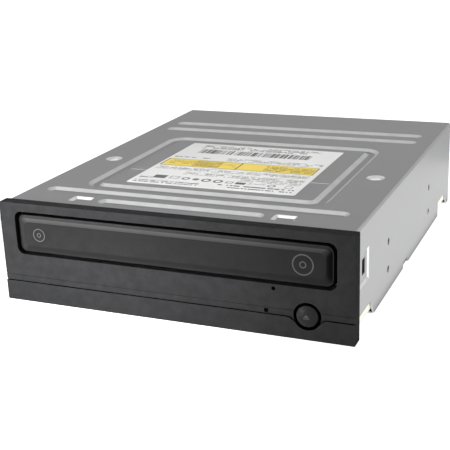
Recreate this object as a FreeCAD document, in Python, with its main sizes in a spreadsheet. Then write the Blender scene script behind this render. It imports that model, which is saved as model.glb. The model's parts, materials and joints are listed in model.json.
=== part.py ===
import FreeCAD, Part
import math
import os
import Sketcher
from FreeCAD import Placement, Rotation, Vector

# A half-height disc drive. The drive lies on its bottom plate with its front facing -Y.
# The origin is the middle of the footprint, under the lowest point of the front plate.
# Depths are counted from the face of the front plate towards the rear, heights from its
# bottom edge, and X from the middle of the drive.

document = FreeCAD.newDocument("disc_drive")
sheet = document.addObject("Spreadsheet::Sheet", "size")

SIZES = [
    ("overall_depth", 184.8, "crown of the button to the rear wall"),
    ("slide_fit", 0.2, "gap at each side of a piece that slides"),
    ("bore_fit", 0.05, "gap all round a shaft in its bore"),
    ("press_gap", 0.1, "gap between covers and frame"),
    ("bezel_width", 148.2, "front plate"),
    ("bezel_height", 42.0, "front plate"),
    ("bezel_thick", 5.1, "front plate"),
    ("bezel_wall", 2.2, "front plate where it is hollow behind"),
    ("bezel_corner", 0.5, "front plate corner"),
    ("case_width", 146.0, "cover, outside"),
    ("case_height", 41.4, "cover, outside"),
    ("case_lift", 0.35, "bottom plate above the front plate's edge"),
    ("steel", 0.8, "cover and bottom sheet"),
    ("fold", 1.3, "outer radius of the cover's folds"),
    ("mouth_half", 67.25, "tray opening, half width"),
    ("mouth_bottom", 20.4, "tray opening, lower edge"),
    ("mouth_top", 38.5, "tray opening, upper edge"),
    ("mouth_corner", 3.2, "tray opening, corner"),
    ("door_gap", 0.8, "gap round the tray door"),
    ("door_thick", 4.6, "tray door"),
    ("door_rim", 1.1, "flat rim of the tray door"),
    ("door_slope", 2.2, "width of the door's sloped border"),
    ("door_crown", 1.3, "height of the door's raised face"),
    ("groove_height", 11.1, "fine groove across the front plate"),
    ("step_height", 8.4, "step across the front plate"),
    ("step_drop", 0.4, "step line of the front plate, depth"),
    ("strip_proud", 0.4, "strip below the step line, in front of the face above"),
    ("strip_turn", 6.9, "where the strip turns down beside the button"),
    ("strip_round", 3.0, "rounding of the strip beside the button"),
    ("strip_foot", 3.5, "where the strip meets the button's hole"),
    ("button_x", 56.0, "eject button"),
    ("button_z", 9.3, "eject button"),
    ("button_hole", 5.35, "radius of the hole round the button"),
    ("button_radius", 4.25, "eject button"),
    ("button_proud", 1.4, "crown of the button in front of the face"),
    ("button_travel", 1.0, "eject button stroke"),
    ("lamp_x", 40.1, "lamp window"),
    ("lamp_z", 9.7, "lamp window"),
    ("lamp_width", 1.6, "lamp window"),
    ("pinhole_x", 43.1, "emergency hole"),
    ("pinhole_z", 18.7, "emergency hole"),
    ("pinhole_radius", 0.75, "emergency hole"),
    ("mount_depth", 47.4, "front mounting holes behind the cover's front edge"),
    ("mount_pitch", 79.25, "mounting holes along the drive"),
    ("mount_low", 10.0, "lower side holes above the bottom plate"),
    ("mount_rise", 11.84, "upper side holes above the lower ones"),
    ("mount_across", 139.7, "bottom mounting holes across the drive"),
    ("mount_radius", 1.5, "mounting holes"),
    ("bead_deep", 1.1, "pressed grooves of the cover"),
    ("bead_half", 3.2, "half width of the pressed grooves"),
    ("long_bead", 62.0, "half length of the long grooves"),
    ("short_bead", 32.0, "half length of the short groove"),
    ("bead_short_at", 12.7, "short groove"),
    ("bead_front_at", 23.0, "front groove"),
    ("bead_middle_at", 137.5, "first rear groove"),
    ("bead_rear_at", 150.5, "second rear groove"),
    ("loop_half", 50.0, "square groove, middle line, half width"),
    ("loop_front", 32.8, "square groove, middle line, front run"),
    ("loop_rear", 118.0, "square groove, middle line, rear run"),
    ("loop_corner", 5.0, "square groove, middle line, corner"),
    ("pocket_x", 43.2, "pressed pockets near the front edge"),
    ("pocket_at", 12.8, "pressed pockets near the front edge"),
    ("dimple_x", 62.0, "round dimples"),
    ("dimple_at", 74.0, "round dimples"),
    ("dimple_radius", 3.9, "round dimples"),
    ("label_half", 37.75, "paper label, half width"),
    ("label_front", 40.5, "paper label, front edge"),
    ("label_rear", 111.0, "paper label, rear edge"),
    ("label_thick", 0.1, "paper label"),
    ("notch_height", 7.15, "corner notches of the cover's sides"),
    ("notch_slant", 5.4, "slanted ends of the corner notches"),
    ("relief_half", 5.0, "small notch in the middle of the sides, half length"),
    ("relief_high", 2.6, "small notch in the middle of the sides"),
    ("notch_front", 20.0, "front notch, length"),
    ("notch_rear", 23.0, "rear notch, length"),
    ("frame_wall", 2.0, "plastic frame"),
    ("floor_thick", 1.6, "plastic frame, floor"),
    ("floor_low", 3.6, "plastic frame, underside of the floor"),
    ("floor_end", 94.0, "plastic frame, rear end of the floor"),
    ("well_half", 49.0, "opening in the floor for the traverse, half width"),
    ("well_front", 49.0, "opening in the floor for the traverse, front edge"),
    ("tray_half", 66.0, "tray, half width"),
    ("tray_low", 29.2, "tray, underside"),
    ("tray_high", 33.6, "tray, top"),
    ("tray_wall", 1.6, "tray, wall"),
    ("tray_end", 164.0, "tray, rear end"),
    ("tray_travel", 134.0, "tray stroke"),
    ("disc_at", 75.0, "middle of the disc"),
    ("disc_well", 60.7, "radius of the disc recess"),
    ("small_well", 41.0, "radius of the small disc recess"),
    ("small_drop", 0.7, "small disc recess below the large one"),
    ("slot_half", 25.0, "tray slot, half width"),
    ("rack_line", 52.0, "pitch line of the tray rack, left of the middle"),
    ("rack_high", 4.4, "height of the rack under the tray"),
    ("tray_gear_teeth", 24, "gear under the rack"),
    ("idler_big_teeth", 34, "idler, large gear"),
    ("idler_small_teeth", 12, "idler, small gear"),
    ("pinion_teeth", 11, "gear on the belt pulley"),
    ("coarse_module", 1.0, "tray gear and rack"),
    ("fine_module", 0.8, "belt pulley gear and idler"),
    ("backlash", 0.16, "tooth gap measured on the pitch line"),
    ("gear_depth", 24.0, "axes of the loading gears"),
    ("gear_pin", 1.5, "radius of the pins that carry the gears"),
    ("pulley_radius", 12.0, "belt pulley, bottom of the groove"),
    ("motor_pulley_radius", 2.5, "motor pulley, bottom of the groove"),
    ("belt_section", 1.2, "square belt"),
    ("motor_radius", 12.2, "loading motor"),
    ("motor_height", 12.3, "loading motor"),
    ("motor_gap", 24.0, "loading motor axis from the pulley axis"),
    ("lift_half", 45.0, "lift frame, half width"),
    ("lift_wall", 4.0, "lift frame, wall"),
    ("lift_front", 50.0, "lift frame, front face"),
    ("lift_end", 165.0, "lift frame, rear face"),
    ("lift_low", 14.0, "lift frame, underside"),
    ("lift_high", 21.0, "lift frame, top"),
    ("pivot_depth", 160.0, "axis of the lift"),
    ("pivot_height", 18.0, "axis of the lift"),
    ("pivot_radius", 2.0, "pins of the lift"),
    ("lift_angle", 4.0, "swing of the lift in degrees"),
    ("cam_travel", 18.0, "cam slider stroke"),
    ("cam_pin_radius", 1.5, "pins that ride in the cam slider"),
    ("cam_pin_height", 18.5, "pins that ride in the cam slider, deck up"),
    ("cam_pin_x", 22.0, "pins that ride in the cam slider"),
    ("cam_thick", 2.0, "cam slider"),
    ("deck_half", 39.0, "traverse deck, half width"),
    ("deck_low", 19.0, "traverse deck, underside"),
    ("deck_steel", 1.2, "traverse deck"),
    ("deck_front", 56.0, "traverse deck, front edge"),
    ("deck_end", 159.0, "traverse deck, rear edge"),
    ("damper_high", 2.4, "rubber under the traverse deck"),
    ("damper_radius", 3.6, "rubber under the traverse deck"),
    ("spin_radius", 12.5, "spindle motor"),
    ("table_radius", 14.0, "turntable"),
    ("table_top", 32.0, "seat of the disc"),
    ("table_thick", 2.2, "turntable"),
    ("hub_radius", 7.4, "turntable hub"),
    ("hub_high", 1.9, "turntable hub"),
    ("rod_radius", 1.5, "guide rods"),
    ("rod_x", 31.0, "guide rods"),
    ("rod_height", 24.6, "guide rods"),
    ("rod_front", 86.0, "guide rods, front end"),
    ("rod_spare", 25.0, "guide rods, beyond the lens at its outermost place"),
    ("pickup_home", 97.0, "lens at its innermost place"),
    ("pickup_travel", 36.0, "pickup stroke"),
    ("pickup_half", 24.0, "pickup, half width"),
    ("pickup_front", 6.4, "pickup in front of the lens"),
    ("pickup_rear", 15.0, "pickup behind the lens"),
    ("pickup_low", 21.4, "pickup, underside"),
    ("pickup_high", 28.0, "pickup, top"),
    ("lens_top", 30.4, "top of the lens"),
    ("lens_radius", 2.4, "lens"),
    ("focus_travel", 0.5, "lens stroke each way"),
    ("screw_x", 36.2, "lead screw"),
    ("screw_radius", 1.4, "lead screw"),
    ("bridge_low", 36.4, "clamp bridge, underside"),
    ("bridge_steel", 1.0, "clamp bridge"),
    ("bridge_half_depth", 20.0, "clamp bridge, half of its depth"),
    ("clamp_hole", 15.2, "radius of the hole in the clamp bridge"),
    ("clamp_radius", 14.4, "clamper below the bridge"),
    ("clamp_flange", 17.4, "flange of the clamper above the bridge"),
    ("disc_thick", 1.2, "thickness of a disc"),
    ("board_low", 3.35, "main board, underside"),
    ("board_thick", 1.6, "circuit boards"),
    ("board_front", 96.0, "main board, front edge"),
    ("board_half", 67.5, "main board, half width"),
    ("pin_width", 0.64, "square connector pins"),
    ("pin_pitch", 2.54, "connector pins"),
    ("notch_lead", 4.5, "rear notch, from the rear edge"),
    ("notch_inset", 6.0, "bottom sheet drawn in at the notches"),
    ("relief_at", 84.8, "small notch in the middle of the sides"),
    ("pocket_half", 4.5, "pressed pockets, half width"),
    ("pocket_deep", 3.2, "pressed pockets, half length"),
    ("pocket_drop", 0.9, "pressed pockets"),
    ("pocket_slope", 1.1, "pressed pockets, run of their slanted walls"),
    ("crease_at", 60.0, "fine crease across the cover"),
    ("crease_half", 46.0, "fine crease, half length"),
    ("crease_line", 0.25, "fine crease, half width and depth"),
    ("dimple_deep", 1.3, "round dimples"),
    ("recess_long", 16.7, "recess round the clip window, length"),
    ("recess_slope", 1.0, "recess round the clip window, run of its slanted walls"),
    ("recess_low", 18.0, "recess round the clip window, lower edge"),
    ("recess_high", 31.0, "recess round the clip window, upper edge"),
    ("recess_deep", 0.6, "recess round the clip window"),
    ("clip_start", 9.2, "clip, from the cover's front edge"),
    ("clip_long", 3.8, "clip head, length"),
    ("clip_middle", 24.8, "clip"),
    ("clip_half", 3.0, "clip, half height"),
    ("clip_thick", 1.2, "clip arm"),
    ("clip_sunk", 0.5, "clip head below the recess"),
    ("cover_screw_x", 60.0, "screws of the bottom sheet"),
    ("cover_screw_front", 12.0, "screws of the bottom sheet"),
    ("cover_screw_rear", 88.0, "screws of the bottom sheet"),
    ("screw_head", 2.3, "radius of the screw heads"),
    ("screw_shank", 1.2, "radius of the screw shanks"),
    ("screw_long", 4.4, "screws"),
    ("head_high", 1.3, "raised screw heads"),
    ("head_edge", 0.4, "chamfer of the raised screw heads"),
    ("cross_long", 1.3, "half length of the cross in the screw heads"),
    ("cross_wide", 0.3, "half width of the cross in the screw heads"),
    ("cross_deep", 0.7, "cross in the screw heads"),
    ("boss_radius", 3.2, "bosses for the screws"),
    ("vent_pitch", 7.0, "vent slots of the rear wall"),
    ("vent_low", 20.0, "vent slots of the rear wall"),
    ("vent_high", 12.0, "vent slots of the rear wall"),
    ("lamp_wall", 5.0, "front plate left solid beside the lamp window"),
    ("fine_line", 0.15, "fine groove of the front plate"),
    ("step_line", 0.25, "step line of the front plate"),
    ("slot_lead", 3.0, "tray slot in front of the turntable"),
    ("finger_radius", 12.0, "finger recess at the front of the tray"),
    ("rack_back", 2.0, "rack behind its teeth"),
    ("wheel_lift", 0.8, "gears above the floor"),
    ("coarse_face", 5.0, "width of the coarse gears"),
    ("wheel_gap", 0.3, "gap between gears that pass each other"),
    ("fine_face", 4.8, "width of the fine gear"),
    ("pulley_face", 2.8, "width of the pulleys"),
    ("neck_radius", 2.9, "neck of the tray gear and shoulders under the gears"),
    ("motor_shaft", 1.0, "radius of the loading motor's shaft"),
    ("shaft_seat", 3.0, "depth of the shaft in its motor"),
    ("lip_reach", 2.6, "reach of the rails over and under the tray"),
    ("rail_thick", 1.8, "tray rails"),
    ("tab_thick", 1.4, "tabs that hold parts down"),
    ("rail_end", 170.0, "rear end of the tray rails"),
    ("tab_first", 16.0, "first tab over the tray"),
    ("tab_last", 150.0, "last tab over the tray"),
    ("tab_half", 5.0, "half length of the tabs"),
    ("side_gap", 0.4, "gap beside swinging and turning pieces"),
    ("board_screw_in", 4.0, "board screws from the board's edge"),
    ("board_screw_rear", 20.0, "rear board screws from the rear wall"),
    ("bridge_screw_x", 69.0, "screws of the clamp bridge"),
    ("wall_low", 3.0, "underside of the frame's walls"),
    ("bracket_thick", 4.0, "brackets of the lift"),
    ("bracket_half", 4.5, "brackets of the lift"),
    ("bracket_low", 11.0, "brackets of the lift"),
    ("bracket_high", 22.0, "brackets of the lift"),
    ("cross_gap", 0.8, "wall behind the lift frame"),
    ("rear_sill", 16.0, "frame's rear wall above the connectors"),
    ("bolt_room", 0.6, "room round the mounting screws"),
    ("motor_seat", 3.0, "collar round the loading motor"),
    ("cam_front", 41.0, "front edge of the cam slider's foot"),
    ("cam_rear", 47.0, "rear face of the cam slider"),
    ("cam_guide_x", 12.0, "lugs that hold the cam slider"),
    ("cam_lug", 3.0, "half width of those lugs"),
    ("ridge_high", 2.0, "ridge behind the cam slider"),
    ("cam_room", 0.3, "room round the pins in the cam slots"),
    ("cam_rest", 2.0, "level ends of the cam slots"),
    ("cam_margin", 5.0, "cam slider beyond its slots"),
    ("arm_half", 2.6, "emergency arm of the cam slider, half height"),
    ("ramp_long", 4.0, "ramp of the emergency arm"),
    ("damper_in", 3.5, "dampers from the deck's edge"),
    ("damper_front", 60.5, "front dampers"),
    ("damper_rear", 152.8, "rear dampers"),
    ("damper_neck", 2.2, "dampers in their holes"),
    ("damper_cap", 1.0, "dampers above the deck"),
    ("spin_boss", 4.0, "hole under the spindle motor"),
    ("tab_width", 2.4, "half width of the deck's tabs"),
    ("feed_front", 66.0, "feed motor, front end"),
    ("feed_long", 14.0, "feed motor"),
    ("feed_radius", 3.9, "feed motor"),
    ("stator_high", 2.4, "base of the spindle motor"),
    ("stator_core", 4.6, "core of the spindle motor"),
    ("spin_shaft", 1.0, "shaft of the spindle motor"),
    ("ring_thick", 0.6, "rubber ring of the turntable"),
    ("rotor_edge", 0.8, "chamfer of the spindle motor's cup"),
    ("ring_width", 4.2, "rubber ring of the turntable"),
    ("ear_wall", 1.0, "pickup ears round the rods"),
    ("ear_floor", 1.0, "pickup ears under the rods"),
    ("lens_holder_half", 8.0, "lens holder, half width"),
    ("lens_holder_deep", 4.4, "lens holder, half length"),
    ("foil", 0.3, "sheet over the pickup"),
    ("lens_rise", 0.5, "crown of the lens"),
    ("clamp_lift", 0.6, "flange of the clamper above the bridge"),
    ("bridge_lip", 1.8, "folded edges of the clamp bridge"),
    ("clamp_rim", 1.4, "flange of the clamper"),
    ("clamp_web", 0.6, "clamper between hub recess and magnet"),
    ("magnet_radius", 8.0, "magnet"),
    ("magnet_high", 2.0, "magnet"),
    ("shroud_long", 11.0, "rear connectors"),
    ("shroud_base", 3.0, "base of the rear connectors"),
    ("shroud_wall", 1.1, "walls of the rear connectors"),
    ("thin_wall", 0.8, "walls of the jumper block"),
    ("key_half", 2.2, "key notch of the data connector"),
    ("key_long", 6.0, "key notch of the data connector"),
    ("pin_long", 6.4, "connector pins"),
    ("power_pin", 2.1, "power pins"),
    ("data_x", -6.0, "data connector"),
    ("data_half", 29.1, "data connector"),
    ("data_high", 9.0, "data connector"),
    ("power_x", -48.5, "power connector"),
    ("power_half", 11.0, "power connector"),
    ("power_high", 10.6, "power connector"),
    ("jumper_x", 33.0, "jumper block"),
    ("jumper_half", 4.8, "jumper block"),
    ("jumper_high", 7.2, "jumper block"),
    ("audio_x", 52.0, "audio connector"),
    ("audio_half", 6.6, "audio connector"),
    ("audio_high", 6.0, "audio connector"),
    ("lamp_board", 3.0, "front board beside the lamp"),
    ("front_board_at", 9.0, "front edge of the front board"),
    ("lamp_back", 0.9, "light pipe behind the face"),
    ("lamp_foot", 2.4, "opening for the foot of the light pipe"),
    ("lamp_at", 9.4, "front of the lamp"),
    ("lamp_long", 3.6, "lamp"),
    ("lamp_radius", 1.5, "lamp"),
    ("button_flange", 6.2, "flange behind the front plate"),
    ("lip_thick", 0.6, "flange behind the front plate"),
    ("dome_high", 1.3, "dome of the button"),
    ("stem_radius", 1.6, "stem of the button"),
    ("plunger_at", 13.0, "front of the switch plunger"),
    ("plunger_long", 1.6, "switch plunger in front of the switch"),
    ("plunger_radius", 1.4, "switch plunger"),
    ("plunger_socket", 3.6, "depth of the plunger's socket"),
    ("switch_half", 3.0, "switch, half width"),
    ("switch_long", 6.0, "switch"),
]


class Size:
    """A length worked out from the sheet, with the formula that the document keeps for it."""

    def __init__(self, number, formula):
        self.number = number
        self.formula = formula

    def __add__(self, other):
        return Size(self.number + number(other), f"({self.formula} + {formula(other)})")

    def __radd__(self, other):
        return Size(number(other) + self.number, f"({formula(other)} + {self.formula})")

    def __sub__(self, other):
        return Size(self.number - number(other), f"({self.formula} - {formula(other)})")

    def __rsub__(self, other):
        return Size(number(other) - self.number, f"({formula(other)} - {self.formula})")

    def __mul__(self, other):
        return Size(self.number * number(other), f"({self.formula} * {formula(other)})")

    def __rmul__(self, other):
        return Size(number(other) * self.number, f"({formula(other)} * {self.formula})")

    def __truediv__(self, other):
        return Size(self.number / number(other), f"({self.formula} / {formula(other)})")

    def __neg__(self):
        return Size(-self.number, f"(0 - {self.formula})")


def number(value):
    return value.number if isinstance(value, Size) else float(value)


def formula(value):
    return value.formula if isinstance(value, Size) else repr(float(value))


class Sheet:
    """Each alias of the sheet as an attribute."""

    def __init__(self):
        for row, (alias, value, meaning) in enumerate(SIZES, 1):
            sheet.set(f"A{row}", alias)
            sheet.set(f"B{row}", repr(value))
            sheet.set(f"C{row}", meaning)
            sheet.setAlias(f"B{row}", alias)
            setattr(self, alias, Size(float(value), f"size.{alias}"))


size = Sheet()
document.recompute()

# Levels that many pieces share.
FACE = size.button_proud - size.overall_depth / 2
COVER_FRONT = FACE + size.bezel_thick
REAR = size.overall_depth / 2
CASE_HALF = size.case_width / 2
CASE_TOP = size.case_lift + size.case_height
SHEET_TOP = size.case_lift + size.steel
INNER_HALF = CASE_HALF - size.steel - size.press_gap
INNER_TOP = CASE_TOP - size.steel
DISC_Y = FACE + size.disc_at
FLOOR_TOP = size.floor_low + size.floor_thick
BOARD_TOP = size.board_low + size.board_thick
DECK_TOP = size.deck_low + size.deck_steel

AXIS_MARK = 9  # length of the line that marks an axis in a sketch

parts = {}


def depth(distance):
    return FACE + distance


LENS_Y = depth(size.pickup_home)
ROD_END = LENS_Y + size.pickup_travel + size.rod_spare


def bind(item, prop, value):
    """Ties one property to the sheet, or sets a plain number."""
    if isinstance(value, Size):
        item.setExpression(prop, value.formula)
    elif "." in prop:
        item.setExpression(prop, formula(value))
    else:
        setattr(item, prop, value)


def new_body(name):
    body = document.addObject("PartDesign::Body", name)
    body.Label = name
    body.AllowCompound = True
    return body


def sketch_on(body, plane, level):
    """A sketch across one of the main planes, moved along that plane's axis."""
    roles = {feature.Role: feature for feature in body.Origin.OriginFeatures}
    sketch = body.newObject("Sketcher::SketchObject", body.Name + "_sketch")
    sketch.AttachmentSupport = (roles[plane + "_Plane"], [""])
    sketch.MapMode = "FlatFace"
    bind(sketch, "AttachmentOffset.Base.z", 0 - level if plane == "XZ" else level)
    return sketch


def tie(sketch, kind, references, value):
    """One sketch dimension, bound to the sheet."""
    index = sketch.addConstraint(Sketcher.Constraint(kind, *references, number(value)))
    if isinstance(value, Size):
        sketch.setExpression(f"Constraints[{index}]", value.formula)


def place_point(sketch, shape, corner, x, y):
    tie(sketch, "DistanceX", (-1, 1, shape, corner), x)
    tie(sketch, "DistanceY", (-1, 1, shape, corner), y)


def end_at(sketch, shape, point):
    near = (sketch.getPoint(shape, 1) - point).Length < (sketch.getPoint(shape, 2) - point).Length
    return 1 if near else 2


def draw_corners(sketch, corners):
    """A closed outline through (x, y) or (x, y, radius) corners."""
    spots = [Vector(number(corner[0]), number(corner[1]), 0) for corner in corners]
    starts, ends, middles = [], [], []
    for index, corner in enumerate(corners):
        spot = spots[index]
        before = (spots[index - 1] - spot).normalize()
        after = (spots[(index + 1) % len(spots)] - spot).normalize()
        radius = number(corner[2]) if len(corner) > 2 else 0
        half = before.getAngle(after) / 2
        back = radius / math.tan(half) if radius else 0
        ends.append(spot + before * back)
        starts.append(spot + after * back)
        inward = (before + after).normalize() if radius else before
        middles.append(spot + inward * (radius / math.sin(half) - radius if radius else 0))
    lines = []
    for index in range(len(corners)):
        segment = Part.LineSegment(starts[index], ends[(index + 1) % len(corners)])
        lines.append(sketch.addGeometry(segment, False))
    for index, corner in enumerate(corners):
        previous, following = lines[index - 1], lines[index]
        if len(corner) > 2:
            arc = Part.Arc(ends[index], middles[index], starts[index])
            bend = sketch.addGeometry(arc, False)
            point = sketch.addGeometry(Part.Point(spots[index]), True)
            first = end_at(sketch, bend, ends[index])
            sketch.addConstraint(Sketcher.Constraint("Tangent", previous, 2, bend, first))
            sketch.addConstraint(Sketcher.Constraint("Tangent", bend, 3 - first, following, 1))
            sketch.addConstraint(Sketcher.Constraint("PointOnObject", point, 1, previous))
            sketch.addConstraint(Sketcher.Constraint("PointOnObject", point, 1, following))
            tie(sketch, "Radius", (bend,), corner[2])
            place_point(sketch, point, 1, corner[0], corner[1])
        else:
            sketch.addConstraint(Sketcher.Constraint("Coincident", previous, 2, following, 1))
            place_point(sketch, following, 1, corner[0], corner[1])


def draw_circle(sketch, x, y, radius):
    shape = Part.Circle(Vector(number(x), number(y), 0), Vector(0, 0, 1), number(radius))
    circle = sketch.addGeometry(shape, False)
    place_point(sketch, circle, 3, x, y)
    tie(sketch, "Radius", (circle,), radius)


def block(x0, x1, y0, y1, radius=None):
    """The four corners of a rectangle."""
    corners = [(x0, y0), (x1, y0), (x1, y1), (x0, y1)]
    return [corner + (radius,) for corner in corners] if radius is not None else corners


def circle(x, y, radius):
    return ("circle", x, y, radius)


def draw(sketch, loops):
    for loop in loops:
        if loop[0] == "circle":
            draw_circle(sketch, *loop[1:])
        else:
            draw_corners(sketch, loop)


def solid(body, plane, low, high, *loops):
    """Adds the prism over the loops, from low to high along the plane's axis."""
    sketch = sketch_on(body, plane, low)
    draw(sketch, loops)
    pad = body.newObject("PartDesign::Pad", body.Name + "_pad")
    pad.Profile = sketch
    pad.Reversed = plane == "XZ"
    bind(pad, "Length", high - low)
    return pad


def cut(body, plane, low, high, *loops):
    """Cuts the prism over the loops, from low to high along the plane's axis."""
    sketch = sketch_on(body, plane, low)
    draw(sketch, loops)
    pocket = body.newObject("PartDesign::Pocket", body.Name + "_pocket")
    pocket.Profile = sketch
    pocket.Reversed = plane != "XZ"
    bind(pocket, "Length", high - low)
    return pocket


def turned(body, plane, level, x, *loops, away=False):
    """Adds, or with away cuts, loops of (radius, place along the axis) corners turned about a line.

    The line stands upright on the XZ plane and lies along Y on the XY plane.
    """
    sketch = sketch_on(body, plane, level)
    draw(sketch, [[(x + corner[0],) + tuple(corner[1:]) for corner in loop] for loop in loops])
    line = Part.LineSegment(Vector(number(x), 0, 0), Vector(number(x), AXIS_MARK, 0))
    axis = sketch.addGeometry(line, True)
    place_point(sketch, axis, 1, x, 0)
    place_point(sketch, axis, 2, x, AXIS_MARK)
    kind = "PartDesign::Groove" if away else "PartDesign::Revolution"
    turn = body.newObject(kind, body.Name + "_turned")
    turn.Profile = sketch
    turn.ReferenceAxis = (sketch, ["Axis0"])
    turn.Angle = 360
    return turn


def keep(name, item):
    item.Label = name
    parts[name] = item
    return item


def group(name, bodies):
    """Several like solids in one piece."""
    bunch = document.addObject("Part::Compound", name)
    bunch.Links = bodies
    return keep(name, bunch)


def row(body, feature, axis, pitch, count):
    """Repeats a feature along an axis."""
    roles = {item.Role: item for item in body.Origin.OriginFeatures}
    pattern = body.newObject("PartDesign::LinearPattern", body.Name + "_row")
    pattern.Originals = [feature]
    pattern.Direction = (roles[axis + "_Axis"], [""])
    pattern.Mode = "Spacing"
    bind(pattern, "Offset", pitch)
    pattern.Occurrences = count
    body.Tip = pattern
    return pattern


def bead_loop(middle, level, deep, half):
    """The section of a pressed groove: a flat bottom between sloped, rounded walls."""
    return [
        (middle - half, level),
        (middle - half * 0.4, level - deep, deep),
        (middle + half * 0.4, level - deep, deep),
        (middle + half, level),
    ]


def bead_end(level, deep, half):
    """Half of the same section, to be turned about an upright axis."""
    return [(0, level), (half, level), (half * 0.4, level - deep, deep), (0, level - deep)]


def straight_bead(body, half_length, y):
    """One straight groove across the cover, with its bulge on the inside of the sheet."""
    bulge = size.bead_half + size.steel / 2
    solid(body, "YZ", -half_length, half_length, bead_loop(y, INNER_TOP, size.bead_deep, bulge))
    for side in (-1, 1):
        turned(body, "XZ", y, side * half_length, bead_end(INNER_TOP, size.bead_deep, bulge))
    cut(body, "YZ", -half_length, half_length, bead_loop(y, CASE_TOP, size.bead_deep, size.bead_half))
    for side in (-1, 1):
        end = bead_end(CASE_TOP, size.bead_deep, size.bead_half)
        turned(body, "XZ", y, side * half_length, end, away=True)


def square_bead(body, level, half, away):
    """The square groove round the middle of the cover, swept along its middle line."""
    path = sketch_on(body, "XY", level)
    front, rear = depth(size.loop_front), depth(size.loop_rear)
    draw(path, [block(-size.loop_half, size.loop_half, front, rear, size.loop_corner)])
    profile = sketch_on(body, "XZ", (front + rear) / 2)
    draw(profile, [bead_loop(-size.loop_half, level, size.bead_deep, half)])
    kind = "PartDesign::SubtractivePipe" if away else "PartDesign::AdditivePipe"
    sweep = body.newObject(kind, "square_bead")
    sweep.Profile = profile
    sweep.Spine = path
    return sweep


def span(side, near, far):
    """A stretch of X on one side of the drive, lower end first."""
    return (near, far) if side > 0 else (-far, -near)


def mount_places():
    front = COVER_FRONT + size.mount_depth
    return front, front + size.mount_pitch


def side_hole_loops(radius):
    """The side mounting holes, seen along X."""
    low = size.case_lift + size.mount_low
    heights = (low, low + size.mount_rise)
    return [circle(place, height, radius) for place in mount_places() for height in heights]


def bottom_hole_loops(radius):
    """The bottom mounting holes, seen from above."""
    half = size.mount_across / 2
    return [circle(side * half, place, radius) for place in mount_places() for side in (-1, 1)]


def corner_notches(low):
    """The cut-outs at the lower corners and the middle of the cover's sides, seen along X."""
    top = size.case_lift + size.notch_height
    front_end = COVER_FRONT + size.notch_front
    rear_end = REAR - size.notch_lead
    rear_start = rear_end - size.notch_rear
    middle, half, slant = depth(size.relief_at), size.relief_half, size.notch_slant
    relief_top = low + size.relief_high
    return [
        [(COVER_FRONT - 1, low), (front_end + slant, low), (front_end, top, 1), (COVER_FRONT - 1, top)],
        [(rear_start, low), (rear_end, low), (rear_end - slant, top, 1), (rear_start, top, 1)],
        [(middle - half, low), (middle + half, low), (middle + half - 1, relief_top),
         (middle - half + 1, relief_top)],
    ]


def make_top_cover():
    """One steel sheet folded over the top and both sides."""
    body = new_body("top_cover")
    low = size.case_lift
    bend = size.fold - size.steel
    solid(body, "XZ", COVER_FRONT, REAR, [
        (-CASE_HALF, low), (-CASE_HALF, CASE_TOP, size.fold), (CASE_HALF, CASE_TOP, size.fold),
        (CASE_HALF, low), (CASE_HALF - size.steel, low), (CASE_HALF - size.steel, INNER_TOP, bend),
        (size.steel - CASE_HALF, INNER_TOP, bend), (size.steel - CASE_HALF, low),
    ])
    straight_bead(body, size.short_bead, depth(size.bead_short_at))
    for place in (size.bead_front_at, size.bead_middle_at, size.bead_rear_at):
        straight_bead(body, size.long_bead, depth(place))
    square_bead(body, INNER_TOP, size.bead_half + size.steel / 2, False)
    square_bead(body, CASE_TOP, size.bead_half, True)
    y = depth(size.pocket_at)
    for side in (-1, 1):
        x = side * size.pocket_x
        dish(body, INNER_TOP, x, y, size.steel / 2, "Additive")
        dish(body, CASE_TOP, x, y, 0, "Subtractive")
        spot, round_edge = depth(size.dimple_at), size.dimple_radius
        bulge = bead_end(INNER_TOP, size.dimple_deep, round_edge + size.steel / 2)
        turned(body, "XZ", spot, side * size.dimple_x, bulge)
        dent = bead_end(CASE_TOP, size.dimple_deep, round_edge)
        turned(body, "XZ", spot, side * size.dimple_x, dent, away=True)
        inner = CASE_HALF - size.steel
        side_recess(body, side, inner, size.steel / 2, "Additive")
        side_recess(body, side, CASE_HALF, 0, "Subtractive")
        cut(body, "YZ", *span(side, inner - size.recess_deep, CASE_HALF), clip_window(size.press_gap))
    y, fine = depth(size.crease_at), size.crease_line
    cut(body, "XY", CASE_TOP - fine, CASE_TOP,
        block(-size.crease_half, size.crease_half, y - fine, y + fine))
    cut(body, "YZ", -CASE_HALF, CASE_HALF, *side_hole_loops(size.mount_radius))
    cut(body, "YZ", -CASE_HALF, CASE_HALF, *corner_notches(low))
    return keep("top_cover", body)


def dish(body, level, x, y, more, way):
    """One pressed pocket with slanted walls, widened by more; way is Additive or Subtractive."""
    wide, deep, run = size.pocket_half + more, size.pocket_deep + more, size.pocket_slope
    floor = sketch_on(body, "XY", level - size.pocket_drop)
    draw(floor, [block(x - wide + run, x + wide - run, y - deep + run, y + deep - run, 0.4)])
    rim = sketch_on(body, "XY", level)
    draw(rim, [block(x - wide, x + wide, y - deep, y + deep, 0.8)])
    loft = body.newObject(f"PartDesign::{way}Loft", "pocket")
    loft.Profile = floor
    loft.Sections = [rim]


def side_recess(body, side, wall, more, way):
    """The shallow recess at the front of one side, seen along X; way is Additive or Subtractive."""
    start, end = COVER_FRONT, COVER_FRONT + size.recess_long + more
    low, high, run = size.recess_low - more, size.recess_high + more, size.recess_slope
    floor = sketch_on(body, "YZ", side * (wall - size.recess_deep))
    draw(floor, [block(start, end - run, low + run, high - run)])
    rim = sketch_on(body, "YZ", side * wall)
    draw(rim, [block(start, end, low, high)])
    loft = body.newObject(f"PartDesign::{way}Loft", "side_recess")
    loft.Profile = floor
    loft.Sections = [rim]


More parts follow.
